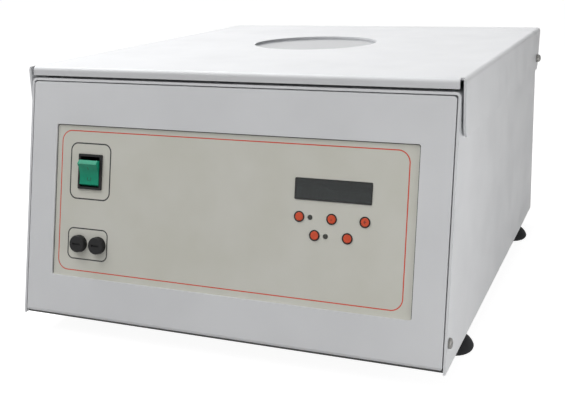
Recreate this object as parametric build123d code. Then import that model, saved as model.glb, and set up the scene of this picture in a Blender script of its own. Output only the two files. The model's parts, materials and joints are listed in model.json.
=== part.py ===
from build123d import *
import math
import os

# Bench centrifuge for butterfat tubes, in millimetres.
# X runs to the right, Y to the back and Z up. The origin lies on the floor, under the middle
# of the machine's outline. The front leans back, the lid is hinged at the rear of the case,
# and the rotor turns about an upright axis in a bowl that hangs from the case's deck.

# Case: a folded sheet over the deck and both sides, on a base plate
case_width = 400.0
case_depth = 477.0
case_height = 214.6
front_setback = 44.6
case_sheet = 2.0
case_bend = 4.0
rear_lip = 14.0
base_sheet = 2.0
base_setback = 4.0
base_flange = 30.0
rear_sheet = 1.5
sheet_gap = 0.3
hole_gap = 0.2
small_round = 1.0
rear_screw_inset = 18.0

# Front panel: a folded tray between the case's edges
panel_sheet = 2.5
panel_gap = 1.0
panel_return = 24.0
panel_round = 3.0
recess_depth = 1.8
label_sheet = 0.3
label_side_margin = 29.2
label_bottom = 39.0
label_height = 139.0
label_round = 2.0

# Controls, measured from the label's edges
display_width = 67.0
display_height = 18.2
display_from_right = 71.0
display_from_top = 41.9
display_pane = 1.6
display_module = 9.0
module_border = 5.0
key_radius = 3.45
key_pitch = 28.4
key_row_drop = 65.0
key_row_pitch = 14.5
key_proud = 0.8
key_travel = 0.6
key_clearance = 0.3
key_collar_width = 0.8
key_collar_height = 0.5
key_edge = 0.5
key_flange = 1.0
key_flange_width = 0.7
key_stem_radius = 1.8
tact_size = 6.0
tact_height = 3.5
led_radius = 2.0
led_proud = 0.5
led_edge = 0.7
led_from_key = 9.5
board_sheet = 1.6
board_width = 112.0
board_height = 84.0
standoff_radius = 3.0

# Mains rocker
rocker_from_left = 37.0
rocker_from_top = 42.0
bezel_width = 25.0
bezel_height = 32.0
bezel_rim = 2.2
bezel_wall = 1.3
bezel_proud = 1.6
bezel_depth = 24.0
bezel_edge = 0.3
bezel_hole_round = 0.5
paddle_side_gap = 0.35
paddle_tilt = 14.0
paddle_pivot_depth = 3.8
paddle_pin_radius = 1.5
paddle_crest = (9.5, 8.6)
paddle_valley = 6.4
paddle_end = (12.2, 5.0)
paddle_heel = (9.0, -3.5)
running_gap = 0.05
terminal_cover = (18.0, 26.0, 10.0)

# Fuse holders
fuse_from_left = (28.2, 48.2)
fuse_from_bottom = 31.0
fuse_cap_radius = 7.75
fuse_cap_height = 4.2
fuse_cap_edge = 1.2
fuse_collar_height = 1.0
fuse_collar_radius = 7.9
fuse_body_radius = 6.4
fuse_bore_radius = 5.5
fuse_body_depth = 38.0
fuse_stem_radius = 5.2
fuse_stem_length = 9.0
fuse_radius = 2.6
fuse_length = 20.0
fuse_slot = (1.6, 1.2)
turn_gap = 0.3

# Lid: a folded sheet with side flanges and a short front lip
lid_sheet = 2.0
lid_side_gap = 1.8
lid_rise = 10.6
lid_front_inset = 0.4
lid_rear_overhang = 6.0
lid_flange_height = 47.4
lid_flange_rake = 17.0
lid_flange_front_round = 11.0
lid_flange_rear_round = 14.0
lid_bend = 4.0
lip_height = 8.2
lip_bend = 4.0
lip_slot = 3.2
window_radius = 66.0
window_left = 9.2
window_pane = 3.0
window_overlap = 9.0
window_ring_width = 8.0
window_ring_sheet = 2.0
window_ring_lip = 5.0

# Lid hinge: a shoulder screw through each side flange
hinge_inset = 19.5
hinge_drop = 23.4
hinge_shoulder_radius = 3.0
hinge_thread_radius = 2.5
hinge_head_radius = 4.7
hinge_head_height = 4.5
hinge_head_edge = 3.4
hinge_socket = (1.6, 2.0)
hinge_side_play = 0.1
washer_radius = 7.0
nut_radius = 4.6
nut_height = 4.7
thread_gap = 0.05
buffer_radius = 7.0
buffer_edge = 1.0
buffer_inset = (14.0, 16.0)

# Bowl, hung from the deck
bowl_side_room = 14.5
bowl_rear_room = 13.5
bowl_sheet = 1.5
bowl_from_base = 58.0
bowl_corner = 16.0
bowl_flange = 5.5
bowl_hole_gap = 0.5
shaft_hole_radius = 12.0
hump_foot_radius = 84.0
hump_top_radius = 64.0
hump_height = 40.0
seal_radius = 20.0
seal_height = 5.0
trim_width = 3.6
trim_height = 4.0
trim_edge = 1.2
trim_inset = 1.0
heater_sensor_gap = 8.0
heater_sheet = 2.4
heater_from_floor = 26.0
sensor_size = (12.0, 9.0, 24.0)
sensor_lock_gap = 0.6
sensor_lead_radius = 2.0
sensor_lead_length = 12.0

# Rotor with inclined sleeves
sleeve_count = 8
sleeve_bore_radius = 13.0
sleeve_wall = 2.0
sleeve_rim_gap = 3.45
sleeve_tilt = 37.0
sleeve_wall_room = 8.0
sleeve_floor_room = 8.0
sleeve_base = 2.0
sleeve_rim = 2.4
sleeve_rim_height = 4.0
cushion_height = 5.0
cushion_gap = 0.1
cone_sheet = 3.0
cone_inner_radius = 74.0
cone_wall_room = 6.0
hub_radius = 19.0
hub_room = 9.5
shaft_radius = 7.0
shaft_step_radius = 5.0
rotor_nut_radius = 15.0
rotor_nut_height = 16.0
rotor_nut_edge = 5.0
rotor_nut_bore_depth = 12.0
rotor_collar_radius = 18.0
rotor_collar_height = 3.0

# Drive motor on rubber mounts
motor_radius = 52.0
motor_top_room = 4.5
motor_plate_half = 66.0
motor_plate_sheet = 4.0
motor_mount_radius = 10.0
motor_mount_height = 15.0
motor_mount_inset = 13.0
motor_edge = 5.0
bearing_radius = 16.0
bearing_height = 9.0
bearing_shoulder = 2.0
shaft_foot_room = 4.0
motor_bolt_radius = 3.0
motor_bolt_head_radius = 5.0
motor_bolt_head_height = 5.0
motor_bolt_count = 4
motor_bolt_circle = 58.0
motor_flange_radius = 64.0
motor_flange_sheet = 5.0
motor_wall = 4.0
motor_core_radius = 25.0
motor_air_gap = 0.5
motor_core_room = 6.0

# Lid lock
striker_from_front = 36.0
striker_sheet = 3.0
striker_width = 13.0
striker_drop = 26.0
striker_eye_drop = 17.0
striker_foot = (30.0, 18.0, 2.0)
bolt_radius = 3.0
bolt_length = 26.0
bolt_edge = 0.5
bolt_rest_gap = 3.5
eye_gap = 1.0
lock_wall = 4.0
lock_bowl_gap = 3.0
lock_slot_gap = 2.0
lock_height = 32.0
solenoid_radius = 11.0
solenoid_length = 34.0

# Feet
foot_height = 20.0
foot_base_radius = 12.5
foot_rim = (16.2, 1.5)
foot_radius = 17.5
foot_radius_height = 5.0
foot_shoulder = (14.8, 10.0)
foot_neck = (10.0, 13.9)
foot_neck_hollow = (8.2, 15.9)
foot_top_radius = 7.5
foot_side_inset = 13.0
foot_front_inset = 90.0
foot_rear_inset = 66.0
foot_hollow_radius = 8.5
foot_hollow_depth = 2.5
foot_screw_well = 5.0
screw_radius = 2.0
screw_head_radius = 4.4
screw_head_height = 2.6
screw_head_edge = 1.6
cross_width = 1.0
cross_length = 5.0
cross_depth = 1.3
screw_tail = 1.0
side_screw_from_front = 12.0
side_screw_height = 22.0
base_screw_inset = 12.0

# Mains inlet in the rear panel
inlet_height = 42.0
inlet_face = (50.0, 27.0)
inlet_opening = (24.2, 16.4)
inlet_body = (30.0, 22.0)
inlet_depth = 26.0
inlet_flange = 1.8
inlet_cavity = 16.5
inlet_corner = 4.5
inlet_screw_pitch = 40.0
pin_size = (2.0, 4.0)
pin_length = 10.5
pin_spread = 7.0
pin_raise = 1.6
vent_slots = 9
vent_pitch = 8.0
vent_width = 3.6
vent_length = 46.0
vent_height = 96.0
vent_from_centre = 92.0

# Power board on the base plate, and the inner mains lead
supply_board = (124.0, 104.0)
supply_from_right = 24.0
supply_from_front = 48.0
supply_standoff = 8.0
supply_standoff_inset = 8.0
transformer_size = (50.0, 44.0, 32.0)
heat_sink_size = (40.0, 12.0, 30.0)
capacitor_radius = 9.0
capacitor_height = 26.0
capacitor_gap = 1.0
part_margin = 10.0
lead_radius = 3.5
lead_bend = 24.0

# Worked out from the sizes above
front_y = -(case_depth + lid_rear_overhang) / 2
rear_y = front_y + case_depth
case_bottom = foot_height
case_top = case_bottom + case_height
case_half = case_width / 2
inner_half = case_half - case_sheet
deck_under = case_top - case_sheet
base_top = case_bottom + base_sheet
lean = math.atan2(front_setback, case_height)
face = Plane(
    origin=(0, front_y, case_bottom),
    x_dir=(1, 0, 0),
    z_dir=(0, -math.cos(lean), math.sin(lean)),
)
over = 1.0  # how far a cutter runs past what it cuts
reach = 2 * case_depth

panel_half = inner_half - panel_gap
panel_top = deck_under - panel_gap
label_half = case_half - label_side_margin
label_top = label_bottom + label_height
label_face = label_sheet - recess_depth
display_u = label_half - display_from_right
display_v = label_top - display_from_top
key_v = label_top - key_row_drop
key_places = [
    (display_u - key_pitch, key_v),
    (display_u, key_v),
    (display_u + key_pitch, key_v),
    (display_u - key_pitch / 2, key_v - key_row_pitch),
    (display_u + key_pitch / 2, key_v - key_row_pitch),
]
led_places = [
    (display_u - key_pitch + led_from_key, key_v),
    (display_u - key_pitch / 2 + led_from_key, key_v - key_row_pitch),
]
board_face = -panel_sheet - display_module
rocker_u = rocker_from_left - label_half
rocker_v = label_top - rocker_from_top
fuse_v = label_bottom + fuse_from_bottom

lid_top = case_top + lid_rise
lid_under = lid_top - lid_sheet
lid_inner_half = case_half + lid_side_gap
lid_half = lid_inner_half + lid_sheet
lid_front_y = front_y + front_setback + lid_front_inset
lid_rear_y = rear_y + lid_rear_overhang
flange_bottom = lid_top - lid_flange_height
hinge_y = rear_y - hinge_inset
hinge_z = case_top - hinge_drop

lock_half_depth = striker_width / 2 + lock_slot_gap + lock_wall
lock_back_y = lid_front_y + striker_from_front + lock_half_depth
bowl_back_y = rear_y - bowl_rear_room
bowl_room = bowl_back_y - lock_back_y - lock_bowl_gap
bowl_outer = min(inner_half - bowl_side_room, bowl_room / 2)
bowl_inner = bowl_outer - bowl_sheet
bowl_floor = base_top + bowl_from_base
axis_y = bowl_back_y - bowl_outer
hump_top = bowl_floor + hump_height

tilt = math.radians(sleeve_tilt)
sleeve_outer = sleeve_bore_radius + sleeve_wall
sleeve_end_r = bowl_inner - sleeve_wall_room - sleeve_outer * math.sin(tilt)
sleeve_end_z = bowl_floor + sleeve_floor_room + sleeve_outer * math.cos(tilt)
cone_outer = bowl_inner - cone_wall_room
cone_rise = math.tan(tilt)
sleeve_spread = math.sin(math.pi / sleeve_count)
sleeve_mouth_r = (sleeve_outer + sleeve_rim + sleeve_rim_gap / 2) / sleeve_spread
sleeve_length = (sleeve_end_r - sleeve_mouth_r) / math.cos(tilt)
disc_z = sleeve_end_z + (sleeve_end_r - cone_inner_radius) * cone_rise
hub_low = hump_top + seal_height + hub_room

motor_floor = base_top + motor_mount_height + motor_plate_sheet
motor_top = hump_top - bowl_sheet - motor_top_room
shaft_foot = motor_floor + shaft_foot_room
nut_base = disc_z + cone_sheet
shaft_top = nut_base + rotor_nut_bore_depth

striker_y = axis_y - bowl_outer - lock_bowl_gap - lock_half_depth
eye_z = case_top - striker_eye_drop
lock_low = deck_under - lock_height
sensor_high = lock_low - sensor_lock_gap
sensor_low = sensor_high - sensor_size[2]


def slab(x0, x1, y0, y1, z0, z1):
    """A block between three pairs of planes."""
    return Pos((x0 + x1) / 2, (y0 + y1) / 2, (z0 + z1) / 2) * Box(x1 - x0, y1 - y0, z1 - z0)


def post(x, y, z0, z1, radius):
    """An upright cylinder."""
    return Pos(x, y, (z0 + z1) / 2) * Cylinder(radius, z1 - z0)


def bar(x0, x1, y, z, radius):
    """A cylinder along X."""
    return Pos((x0 + x1) / 2, y, z) * Rot(0, 90, 0) * Cylinder(radius, x1 - x0)


def ring(x, y, z0, z1, inner, outer):
    """An upright ring."""
    return post(x, y, z0, z1, outer) - post(x, y, z0 - 1, z1 + 1, inner)


def group(pieces):
    """Several separate solids in one node."""
    return Compound(children=[solid for piece in pieces for solid in piece.solids()])


def side_prism(points, half):
    """A side outline in Y and Z, drawn out to both sides of the middle."""
    return extrude(Plane.YZ * make_face(Polyline(*points, close=True)), half, both=True)


def front_line(z):
    """Where the leaning front lies at a height."""
    return front_y + (z - case_bottom) * math.tan(lean)


def pan_screw(length, radius=screw_radius, head_radius=screw_head_radius):
    """A cross-head screw along -Z, its head's seat at the origin."""
    head = Pos(0, 0, screw_head_height / 2) * Cylinder(head_radius, screw_head_height)
    head = fillet(head.edges().group_by(Axis.Z)[-1], screw_head_edge)
    cross = Box(cross_length, cross_width, cross_depth) + Box(cross_width, cross_length, cross_depth)
    head -= Pos(0, 0, screw_head_height - cross_depth / 2) * cross
    return head + Pos(0, 0, -length / 2) * Cylinder(radius, length)


def plate(u, v, width, height, w0, w1, corner):
    """A plate with rounded corners about a middle point, between two depths."""
    return Pos(u, v, w0) * extrude(RectangleRounded(width, height, corner), w1 - w0)


def slot_row(count, pitch, width, length, w0, w1):
    """A row of round-ended upright slots, as one cutter."""
    slot = Pos(0, 0, w0) * extrude(SlotOverall(length, width, rotation=90), w1 - w0)
    return Compound(children=[Pos((n - (count - 1) / 2) * pitch, 0, 0) * slot for n in range(count)])


# Case -----------------------------------------------------------------------------------


def side_places(y, z):
    """A place on each side of the case, turned so that +Z points outwards."""
    return [Pos(side * case_half, y, z) * Rot(0, side * 90, 0) for side in (-1, 1)]


side_screw_places = side_places(front_y + side_screw_from_front, case_bottom + side_screw_height)
hinge_places = side_places(hinge_y, hinge_z)


def case_shell():
    outline = [
        (front_y, case_bottom),
        (front_y + front_setback, case_top),
        (rear_y, case_top),
        (rear_y, case_bottom),
    ]
    shell = side_prism(outline, case_half)
    shell = fillet(shell.edges().filter_by(Axis.Y).group_by(Axis.Z)[-1], case_bend)
    hollow = slab(
        -inner_half, inner_half, front_y - reach, rear_y - case_sheet, case_bottom - reach, deck_under
    )
    hollow = fillet(hollow.edges().filter_by(Axis.Y).group_by(Axis.Z)[-1], case_bend - case_sheet)
    lip_half = inner_half - rear_lip
    back = slab(-lip_half, lip_half, front_y, rear_y + over, case_bottom - over, deck_under - rear_lip)
    shell = shell - hollow - back
    shell -= post(0, axis_y, deck_under - over, case_top + over, bowl_outer + bowl_hole_gap)
    slot_x = striker_sheet / 2 + lock_slot_gap
    slot_y = striker_width / 2 + lock_slot_gap
    shell -= slab(-slot_x, slot_x, striker_y - slot_y, striker_y + slot_y, deck_under - over, case_top + over)
    wall_cut = 2 * (case_sheet + over)
    for place in side_screw_places:
        shell -= place * Cylinder(screw_radius + hole_gap, wall_cut)
    for place in hinge_places:
        shell -= place * Cylinder(hinge_thread_radius + thread_gap, wall_cut)
    for place in rear_screw_places:
        shell -= place * Cylinder(screw_radius + thread_gap, wall_cut + 2 * rear_sheet)
    nut = extrude(RegularPolygon(nut_radius, 6), nut_height)
    nut -= Cylinder(hinge_thread_radius + thread_gap, wall_cut * nut_height)
    for place in hinge_places:
        shell += place * Pos(0, 0, -case_sheet - nut_height) * nut
    return shell


def base_plate():
    half = inner_half - sheet_gap
    back = rear_y - case_sheet - sheet_gap
    tray = slab(-half, half, front_y + base_setback, back, case_bottom, base_top)
    flange_front = front_line(base_top + base_flange) + panel_return + base_sheet
    for side in (-1, 1):
        inner = side * (half - base_sheet)
        low, high = sorted((inner, side * half))
        tray += slab(low, high, flange_front, back, case_bottom, base_top + base_flange)
    for x, y in foot_places:
        tray -= post(x, y, case_bottom - over, base_top + over, screw_radius + thread_gap)
    for x, y in base_screw_places:
        tray -= post(x, y, case_bottom - over, base_top + over, screw_radius + hole_gap)
    vents = slot_row(vent_slots, vent_pitch, vent_width, vent_length, case_bottom - over, base_top + over)
    for side in (-1, 1):
        tray -= Pos(side * (motor_plate_half + vent_length), axis_y, 0) * vents
    return tray


foot_places = [
    (side * (case_half - foot_side_inset), y)
    for side in (-1, 1)
    for y in (front_y + foot_front_inset, rear_y - foot_rear_inset)
]
base_screw_places = [
    (side * panel_half / 2, front_line(base_top) + base_screw_inset) for side in (-1, 1)
]


# Rear panel -----------------------------------------------------------------------------

rear_face = Plane(origin=(0, rear_y + rear_sheet, case_bottom), x_dir=(-1, 0, 0), z_dir=(0, 1, 0))
rear_half = case_half - case_bend
rear_height = case_height - case_bend
inlet_u = -rocker_u
rear_screw_u = inner_half - rear_lip / 2
rear_screw_v = [rear_screw_inset, rear_height / 2, rear_height - rear_screw_inset]
rear_screw_spots = [(side * rear_screw_u, v) for side in (-1, 1) for v in rear_screw_v]
rear_screw_places = [rear_face.location * Pos(u, v, 0) for u, v in rear_screw_spots]


def rear_panel():
    panel = plate(0, rear_height / 2, 2 * rear_half, rear_height, -rear_sheet, 0, panel_round)
    vents = slot_row(vent_slots, vent_pitch, vent_width, vent_length, -rear_sheet - over, over)
    for side in (-1, 1):
        panel -= Pos(side * vent_from_centre, vent_height, 0) * vents
    width, height = inlet_body
    cut_width = width + 2 * sheet_gap
    cut_height = height + 2 * sheet_gap
    panel -= plate(inlet_u, inlet_height, cut_width, cut_height, -rear_sheet - over, over, small_round)
    for side in (-1, 1):
        spot = Pos(inlet_u + side * inlet_screw_pitch / 2, inlet_height, 0)
        panel -= spot * Cylinder(screw_radius + thread_gap, 2 * (rear_sheet + over))
    for u, v in rear_screw_spots:
        panel -= Pos(u, v, 0) * Cylinder(screw_radius + hole_gap, 2 * (rear_sheet + over))
    return rear_face.location * panel


def inlet_outline(width, height, corner, w0, w1):
    """The inlet's outline, with its two upper corners cut off."""
    points = [
        (-width / 2, -height / 2),
        (width / 2, -height / 2),
        (width / 2, height / 2 - corner),
        (width / 2 - corner, height / 2),
        (-width / 2 + corner, height / 2),
        (-width / 2, height / 2 - corner),
    ]
    return Pos(0, 0, w0) * extrude(make_face(Polyline(*points, close=True)), w1 - w0)


def power_inlet():
    width, height = inlet_face
    body_width, body_height = inlet_body
    socket = plate(0, 0, width, height, 0, inlet_flange, panel_round)
    socket += inlet_outline(body_width, body_height, inlet_corner, inlet_flange - inlet_depth, 0)
    mouth, mouth_height = inlet_opening
    deep = inlet_flange - inlet_cavity
    socket -= inlet_outline(mouth, mouth_height, inlet_corner, deep, inlet_flange + over)
    for side in (-1, 1):
        hole = Cylinder(screw_radius + hole_gap, 2 * (inlet_flange + over))
        socket -= Pos(side * inlet_screw_pitch / 2, 0, 0) * hole
    return rear_face.location * Pos(inlet_u, inlet_height, 0) * socket


def inlet_pins():
    thick, tall = pin_size
    low = inlet_flange - inlet_cavity
    spots = [(-pin_spread, -pin_raise), (0, pin_raise), (pin_spread, -pin_raise)]
    pins = [Pos(u, v, low + pin_length / 2) * Box(thick, tall, pin_length) for u, v in spots]
    return group([rear_face.location * Pos(inlet_u, inlet_height, 0) * pin for pin in pins])


# Front panel and its label --------------------------------------------------------------


def tray_outline(low, high, inset, depth):
    return [
        (front_line(low) + inset, low),
        (front_line(high) + inset, high),
        (front_line(high) + depth, high),
        (front_line(low) + depth, low),
    ]


def control_openings(w0, w1):
    """What is cut through both the panel and its label."""
    middle = (w0 + w1) / 2
    height = w1 - w0
    cuts = [plate(display_u, display_v, display_width, display_height, w0, w1, small_round)]
    for u, v in key_places:
        cuts.append(Pos(u, v, middle) * Cylinder(key_radius + key_clearance, height))
    for u, v in led_places:
        cuts.append(Pos(u, v, middle) * Cylinder(led_radius + hole_gap, height))
    for u in fuse_u:
        cuts.append(Pos(u, fuse_v, middle) * Cylinder(fuse_body_radius + hole_gap, height))
    width = bezel_width - 2 * bezel_rim + 2 * (bezel_wall + hole_gap)
    tall = bezel_height - 2 * bezel_rim + 2 * (bezel_wall + hole_gap)
    cuts.append(plate(rocker_u, rocker_v, width, tall, w0, w1, bezel_hole_round))
    return cuts


fuse_u = [left - label_half for left in fuse_from_left]
recess_v = (label_bottom + label_top) / 2


def front_panel():
    tray = side_prism(tray_outline(base_top, panel_top, 0, panel_return), panel_half)
    front = tray.faces().sort_by(Axis.Y)[0]
    tray = fillet(front.edges() + tray.edges().filter_by(Axis.Y), panel_round)
    skew = panel_sheet / math.cos(lean)
    inside = tray_outline(base_top + panel_sheet, panel_top - panel_sheet, skew, panel_return + over)
    tray -= side_prism(inside, panel_half - panel_sheet)
    cuts = control_openings(-panel_sheet - over, over)
    cuts.append(plate(0, recess_v, 2 * label_half, label_height, -recess_depth, over, label_round))
    for cut in cuts:
        tray -= face.location * cut
    through_side = 2 * (case_sheet + panel_gap + panel_sheet + over)
    for place in side_screw_places:
        tray -= place * Cylinder(screw_radius + thread_gap, through_side)
    for x, y in base_screw_places:
        tray -= post(x, y, base_top - over, base_top + panel_sheet + over, screw_radius + thread_gap)
    return tray


def control_label():
    width = 2 * (label_half - hole_gap)
    height = label_height - 2 * hole_gap
    label = plate(0, recess_v, width, height, -recess_depth, label_face, label_round)
    for cut in control_openings(-recess_depth - over, over):
        label -= cut
    return face.location * label


def display_window():
    width = display_width - 2 * hole_gap
    height = display_height - 2 * hole_gap
    pane_top = display_pane - panel_sheet
    return face.location * plate(display_u, display_v, width, height, -panel_sheet, pane_top, small_round)


def display_unit():
    width = display_width + 2 * module_border
    height = display_height + 2 * module_border
    return face.location * plate(display_u, display_v, width, height, board_face, -panel_sheet, small_round)


board_v = (display_v + key_v - key_row_pitch) / 2


def control_board():
    back = board_face - board_sheet
    board = plate(display_u, board_v, board_width, board_height, back, board_face, small_round)
    switch = Box(tact_size, tact_size, tact_height)
    switches = [Pos(u, v, board_face + tact_height / 2) * switch for u, v in key_places]
    return group([face.location * piece for piece in [board] + switches])


def indicator_leds():
    top = label_face + led_proud
    lamp = Cylinder(led_radius, top - board_face)
    lamp = fillet(lamp.edges().group_by(Axis.Z)[-1], led_edge)
    return group([face.location * Pos(u, v, (top + board_face) / 2) * lamp for u, v in led_places])


def key(u, v):
    """A round key with a retaining flange behind the panel and a stem to its switch."""
    back = -panel_sheet - sheet_gap
    top = label_face + key_proud
    head = Pos(0, 0, (back + top) / 2) * Cylinder(key_radius, top - back)
    head = fillet(head.edges().group_by(Axis.Z)[-1], key_edge)
    flange_radius = key_radius + key_clearance + key_flange_width
    head += Pos(0, 0, back - key_flange / 2) * Cylinder(flange_radius, key_flange)
    foot = board_face + tact_height + key_travel + sheet_gap
    stem_top = back - key_flange
    head += Pos(0, 0, (foot + stem_top) / 2) * Cylinder(key_stem_radius, stem_top - foot)
    return face.location * Pos(u, v, 0) * head


def key_collars():
    inner = key_radius + key_clearance
    collar = Cylinder(inner + key_collar_width, key_collar_height) - Cylinder(inner, key_collar_height)
    middle = label_face + key_collar_height / 2
    return group([face.location * Pos(u, v, middle) * collar for u, v in key_places])


# Mains rocker ---------------------------------------------------------------------------

rocker_place = face.location * Pos(rocker_u, rocker_v, label_face)
opening_width = bezel_width - 2 * bezel_rim
opening_height = bezel_height - 2 * bezel_rim


def rocker_bezel():
    bezel = plate(0, 0, bezel_width, bezel_height, 0, bezel_proud, small_round)
    bezel = chamfer(bezel.faces().sort_by(Axis.Z)[-1].edges(), bezel_edge)
    body_width = opening_width + 2 * bezel_wall
    body_height = opening_height + 2 * bezel_wall
    bezel += Pos(0, 0, -bezel_depth / 2) * Box(body_width, body_height, bezel_depth)
    pocket = bezel_depth - bezel_wall + bezel_proud + over
    bezel -= Pos(0, 0, bezel_proud + over - pocket / 2) * Box(opening_width, opening_height, pocket)
    bezel -= bar(-body_width, body_width, 0, -paddle_pivot_depth, paddle_pin_radius + running_gap)
    return rocker_place * bezel


def rocker_paddle():
    crest_v, crest_w = paddle_crest
    end_v, end_w = paddle_end
    heel_v, heel_w = paddle_heel
    sides = Polyline(
        (crest_v, crest_w),
        (end_v, end_w),
        (heel_v, heel_w),
        (-heel_v, heel_w),
        (-end_v, end_w),
        (-crest_v, crest_w),
    )
    hollow = ThreePointArc((-crest_v, crest_w), (0, paddle_valley), (crest_v, crest_w))
    half = opening_width / 2 - paddle_side_gap
    paddle = extrude(Plane.YZ * make_face(sides + hollow), half, both=True)
    pin_half = half + paddle_side_gap + bezel_wall
    paddle += bar(-pin_half, pin_half, 0, 0, paddle_pin_radius)
    return rocker_place * Pos(0, 0, -paddle_pivot_depth) * Rot(paddle_tilt, 0, 0) * paddle


# Fuses ----------------------------------------------------------------------------------


def fuse_place(u):
    return face.location * Pos(u, fuse_v, label_face)


def fuse_holders():
    tube = Pos(0, 0, -fuse_body_depth / 2) * Cylinder(fuse_body_radius, fuse_body_depth)
    tube += Pos(0, 0, fuse_collar_height / 2) * Cylinder(fuse_collar_radius, fuse_collar_height)
    low = fuse_collar_height - fuse_stem_length - fuse_length
    high = fuse_collar_height + over
    tube -= Pos(0, 0, (low + high) / 2) * Cylinder(fuse_bore_radius, high - low)
    return group([fuse_place(u) * tube for u in fuse_u])


def fuse_cap(u):
    low = fuse_collar_height + turn_gap
    cap = Pos(0, 0, low + fuse_cap_height / 2) * Cylinder(fuse_cap_radius, fuse_cap_height)
    cap = fillet(cap.edges().group_by(Axis.Z)[-1], fuse_cap_edge)
    slot_width, slot_depth = fuse_slot
    top = low + fuse_cap_height
    cap -= Pos(0, 0, top - slot_depth / 2) * Box(fuse_cap_radius, slot_width, slot_depth)
    cap += Pos(0, 0, low - fuse_stem_length / 2) * Cylinder(fuse_stem_radius, fuse_stem_length)
    return fuse_place(u) * cap


def fuses():
    front = fuse_collar_height - fuse_stem_length
    tube = Pos(0, 0, front - fuse_length / 2) * Cylinder(fuse_radius, fuse_length)
    return group([fuse_place(u) * tube for u in fuse_u])


# Lid ------------------------------------------------------------------------------------


def top_front_edge(solid):
    return solid.edges().filter_by(Axis.X).group_by(Axis.Z)[-1].sort_by(Axis.Y)[0]


def lid_shell():
    cover = slab(-lid_half, lid_half, lid_front_y, lid_rear_y, flange_bottom - over, lid_top)
    cover = fillet(cover.edges().filter_by(Axis.Y).group_by(Axis.Z)[-1], lid_bend)
    low = flange_bottom - reach
    inside = slab(-lid_inner_half, lid_inner_half, lid_front_y - over, lid_rear_y + over, low, lid_under)
    inside = fillet(inside.edges().filter_by(Axis.Y).group_by(Axis.Z)[-1], lid_bend - lid_sheet)
    outline = [
        (lid_front_y, flange_bottom),
        (lid_front_y, lid_top),
        (lid_rear_y, lid_top),
        (lid_rear_y - lid_flange_rake, flange_bottom),
    ]
    profile = side_prism(outline, lid_half + over)
    low_edges = profile.edges().filter_by(Axis.X).group_by(Axis.Z)[0].sort_by(Axis.Y)
    profile = fillet(low_edges[-1], lid_flange_rear_round)
    low_edges = profile.edges().filter_by(Axis.X).group_by(Axis.Z)[0].sort_by(Axis.Y)
    profile = fillet(low_edges[0], lid_flange_front_round)
    cover = (cover - inside) & profile
    lip_half = lid_inner_half - lip_slot
    back = lid_front_y + lip_bend + over
    cover -= slab(-lid_inner_half, lid_inner_half, lid_front_y - over, back, lid_under - over, lid_top + over)
    low = lid_top - lip_height
    lip = slab(-lip_half, lip_half, lid_front_y, back, low, lid_top)
    lip = fillet(top_front_edge(lip), lip_bend)
    wide = lip_half + over
    under = slab(-wide, wide, lid_front_y + lid_sheet, back + over, low - over, lid_under)
    cover += lip - fillet(top_front_edge(under), lip_bend - lid_sheet)
    cover -= post(-window_left, axis_y, lid_under - over, lid_top + over, window_radius)
    cover -= bar(-lid_half - over, lid_half + over, hinge_y, hinge_z, hinge_shoulder_radius + running_gap)
    return cover


window_outer = window_radius + window_overlap
ring_low = lid_under - window_pane - window_ring_sheet


def lid_window():
    return post(-window_left, axis_y, lid_under - window_pane, lid_under, window_outer)


def window_ring():
    outer = window_outer + window_ring_width
    pane_low = lid_under - window_pane
    frame = ring(-window_left, axis_y, pane_low, lid_under, window_outer + hole_gap, outer)
    frame += ring(-window_left, axis_y, ring_low, pane_low, window_outer - window_ring_lip, outer)
    return frame


def hinge_screws():
    seat = lid_side_gap + lid_sheet + hinge_side_play
    head = Pos(0, 0, seat + hinge_head_height / 2) * Cylinder(hinge_head_radius, hinge_head_height)
    head = fillet(head.edges().group_by(Axis.Z)[-1], hinge_head_edge)
    socket_radius, socket_depth = hinge_socket
    socket = extrude(RegularPolygon(socket_radius, 6), socket_depth)
    head -= Pos(0, 0, seat + hinge_head_height - socket_depth) * socket
    head += Pos(0, 0, seat / 2) * Cylinder(hinge_shoulder_radius, seat)
    tail = case_sheet + nut_height + screw_tail
    head += Pos(0, 0, -tail / 2) * Cylinder(hinge_thread_radius, tail)
    return group([place * head for place in hinge_places])


def hinge_washers():
    height = lid_side_gap - 2 * hinge_side_play
    washer = Cylinder(washer_radius, height) - Cylinder(hinge_shoulder_radius + running_gap, height)
    return group([place * Pos(0, 0, hinge_side_play + height / 2) * washer for place in hinge_places])


def lid_buffers():
    side_inset, front_inset = buffer_inset
    top = lid_under - sheet_gap
    pads = []
    for side in (-1, 1):
        pad = post(side * (case_half - side_inset), lid_front_y + front_inset, case_top, top, buffer_radius)
        pads.append(fillet(pad.edges().group_by(Axis.Z)[-1], buffer_edge))
    return group(pads)


# Lid lock -------------------------------------------------------------------------------

lock_slot_x = striker_sheet / 2 + lock_slot_gap
lock_slot_y = striker_width / 2 + lock_slot_gap
bolt_tip = striker_sheet / 2 + bolt_rest_gap
lock_right = bolt_tip + bolt_length + sheet_gap


def lid_striker():
    length, width, thick = striker_foot
    seat = lid_under - thick
    foot = slab(-length / 2, length / 2, striker_y - width / 2, striker_y + width / 2, seat, lid_under)
    near = striker_y - striker_width / 2
    low_end = case_top - striker_drop
    tongue = slab(-striker_sheet / 2, striker_sheet / 2, near, near + striker_width, low_end, seat)
    low = tongue.edges().filter_by(Axis.X).group_by(Axis.Z)[0]
    tongue = fillet(low, striker_sheet)
    half = bolt_radius + eye_gap
    eye = slab(-striker_sheet, striker_sheet, striker_y - half, striker_y + half, eye_z - half, eye_z + half)
    return foot + tongue - eye


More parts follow.
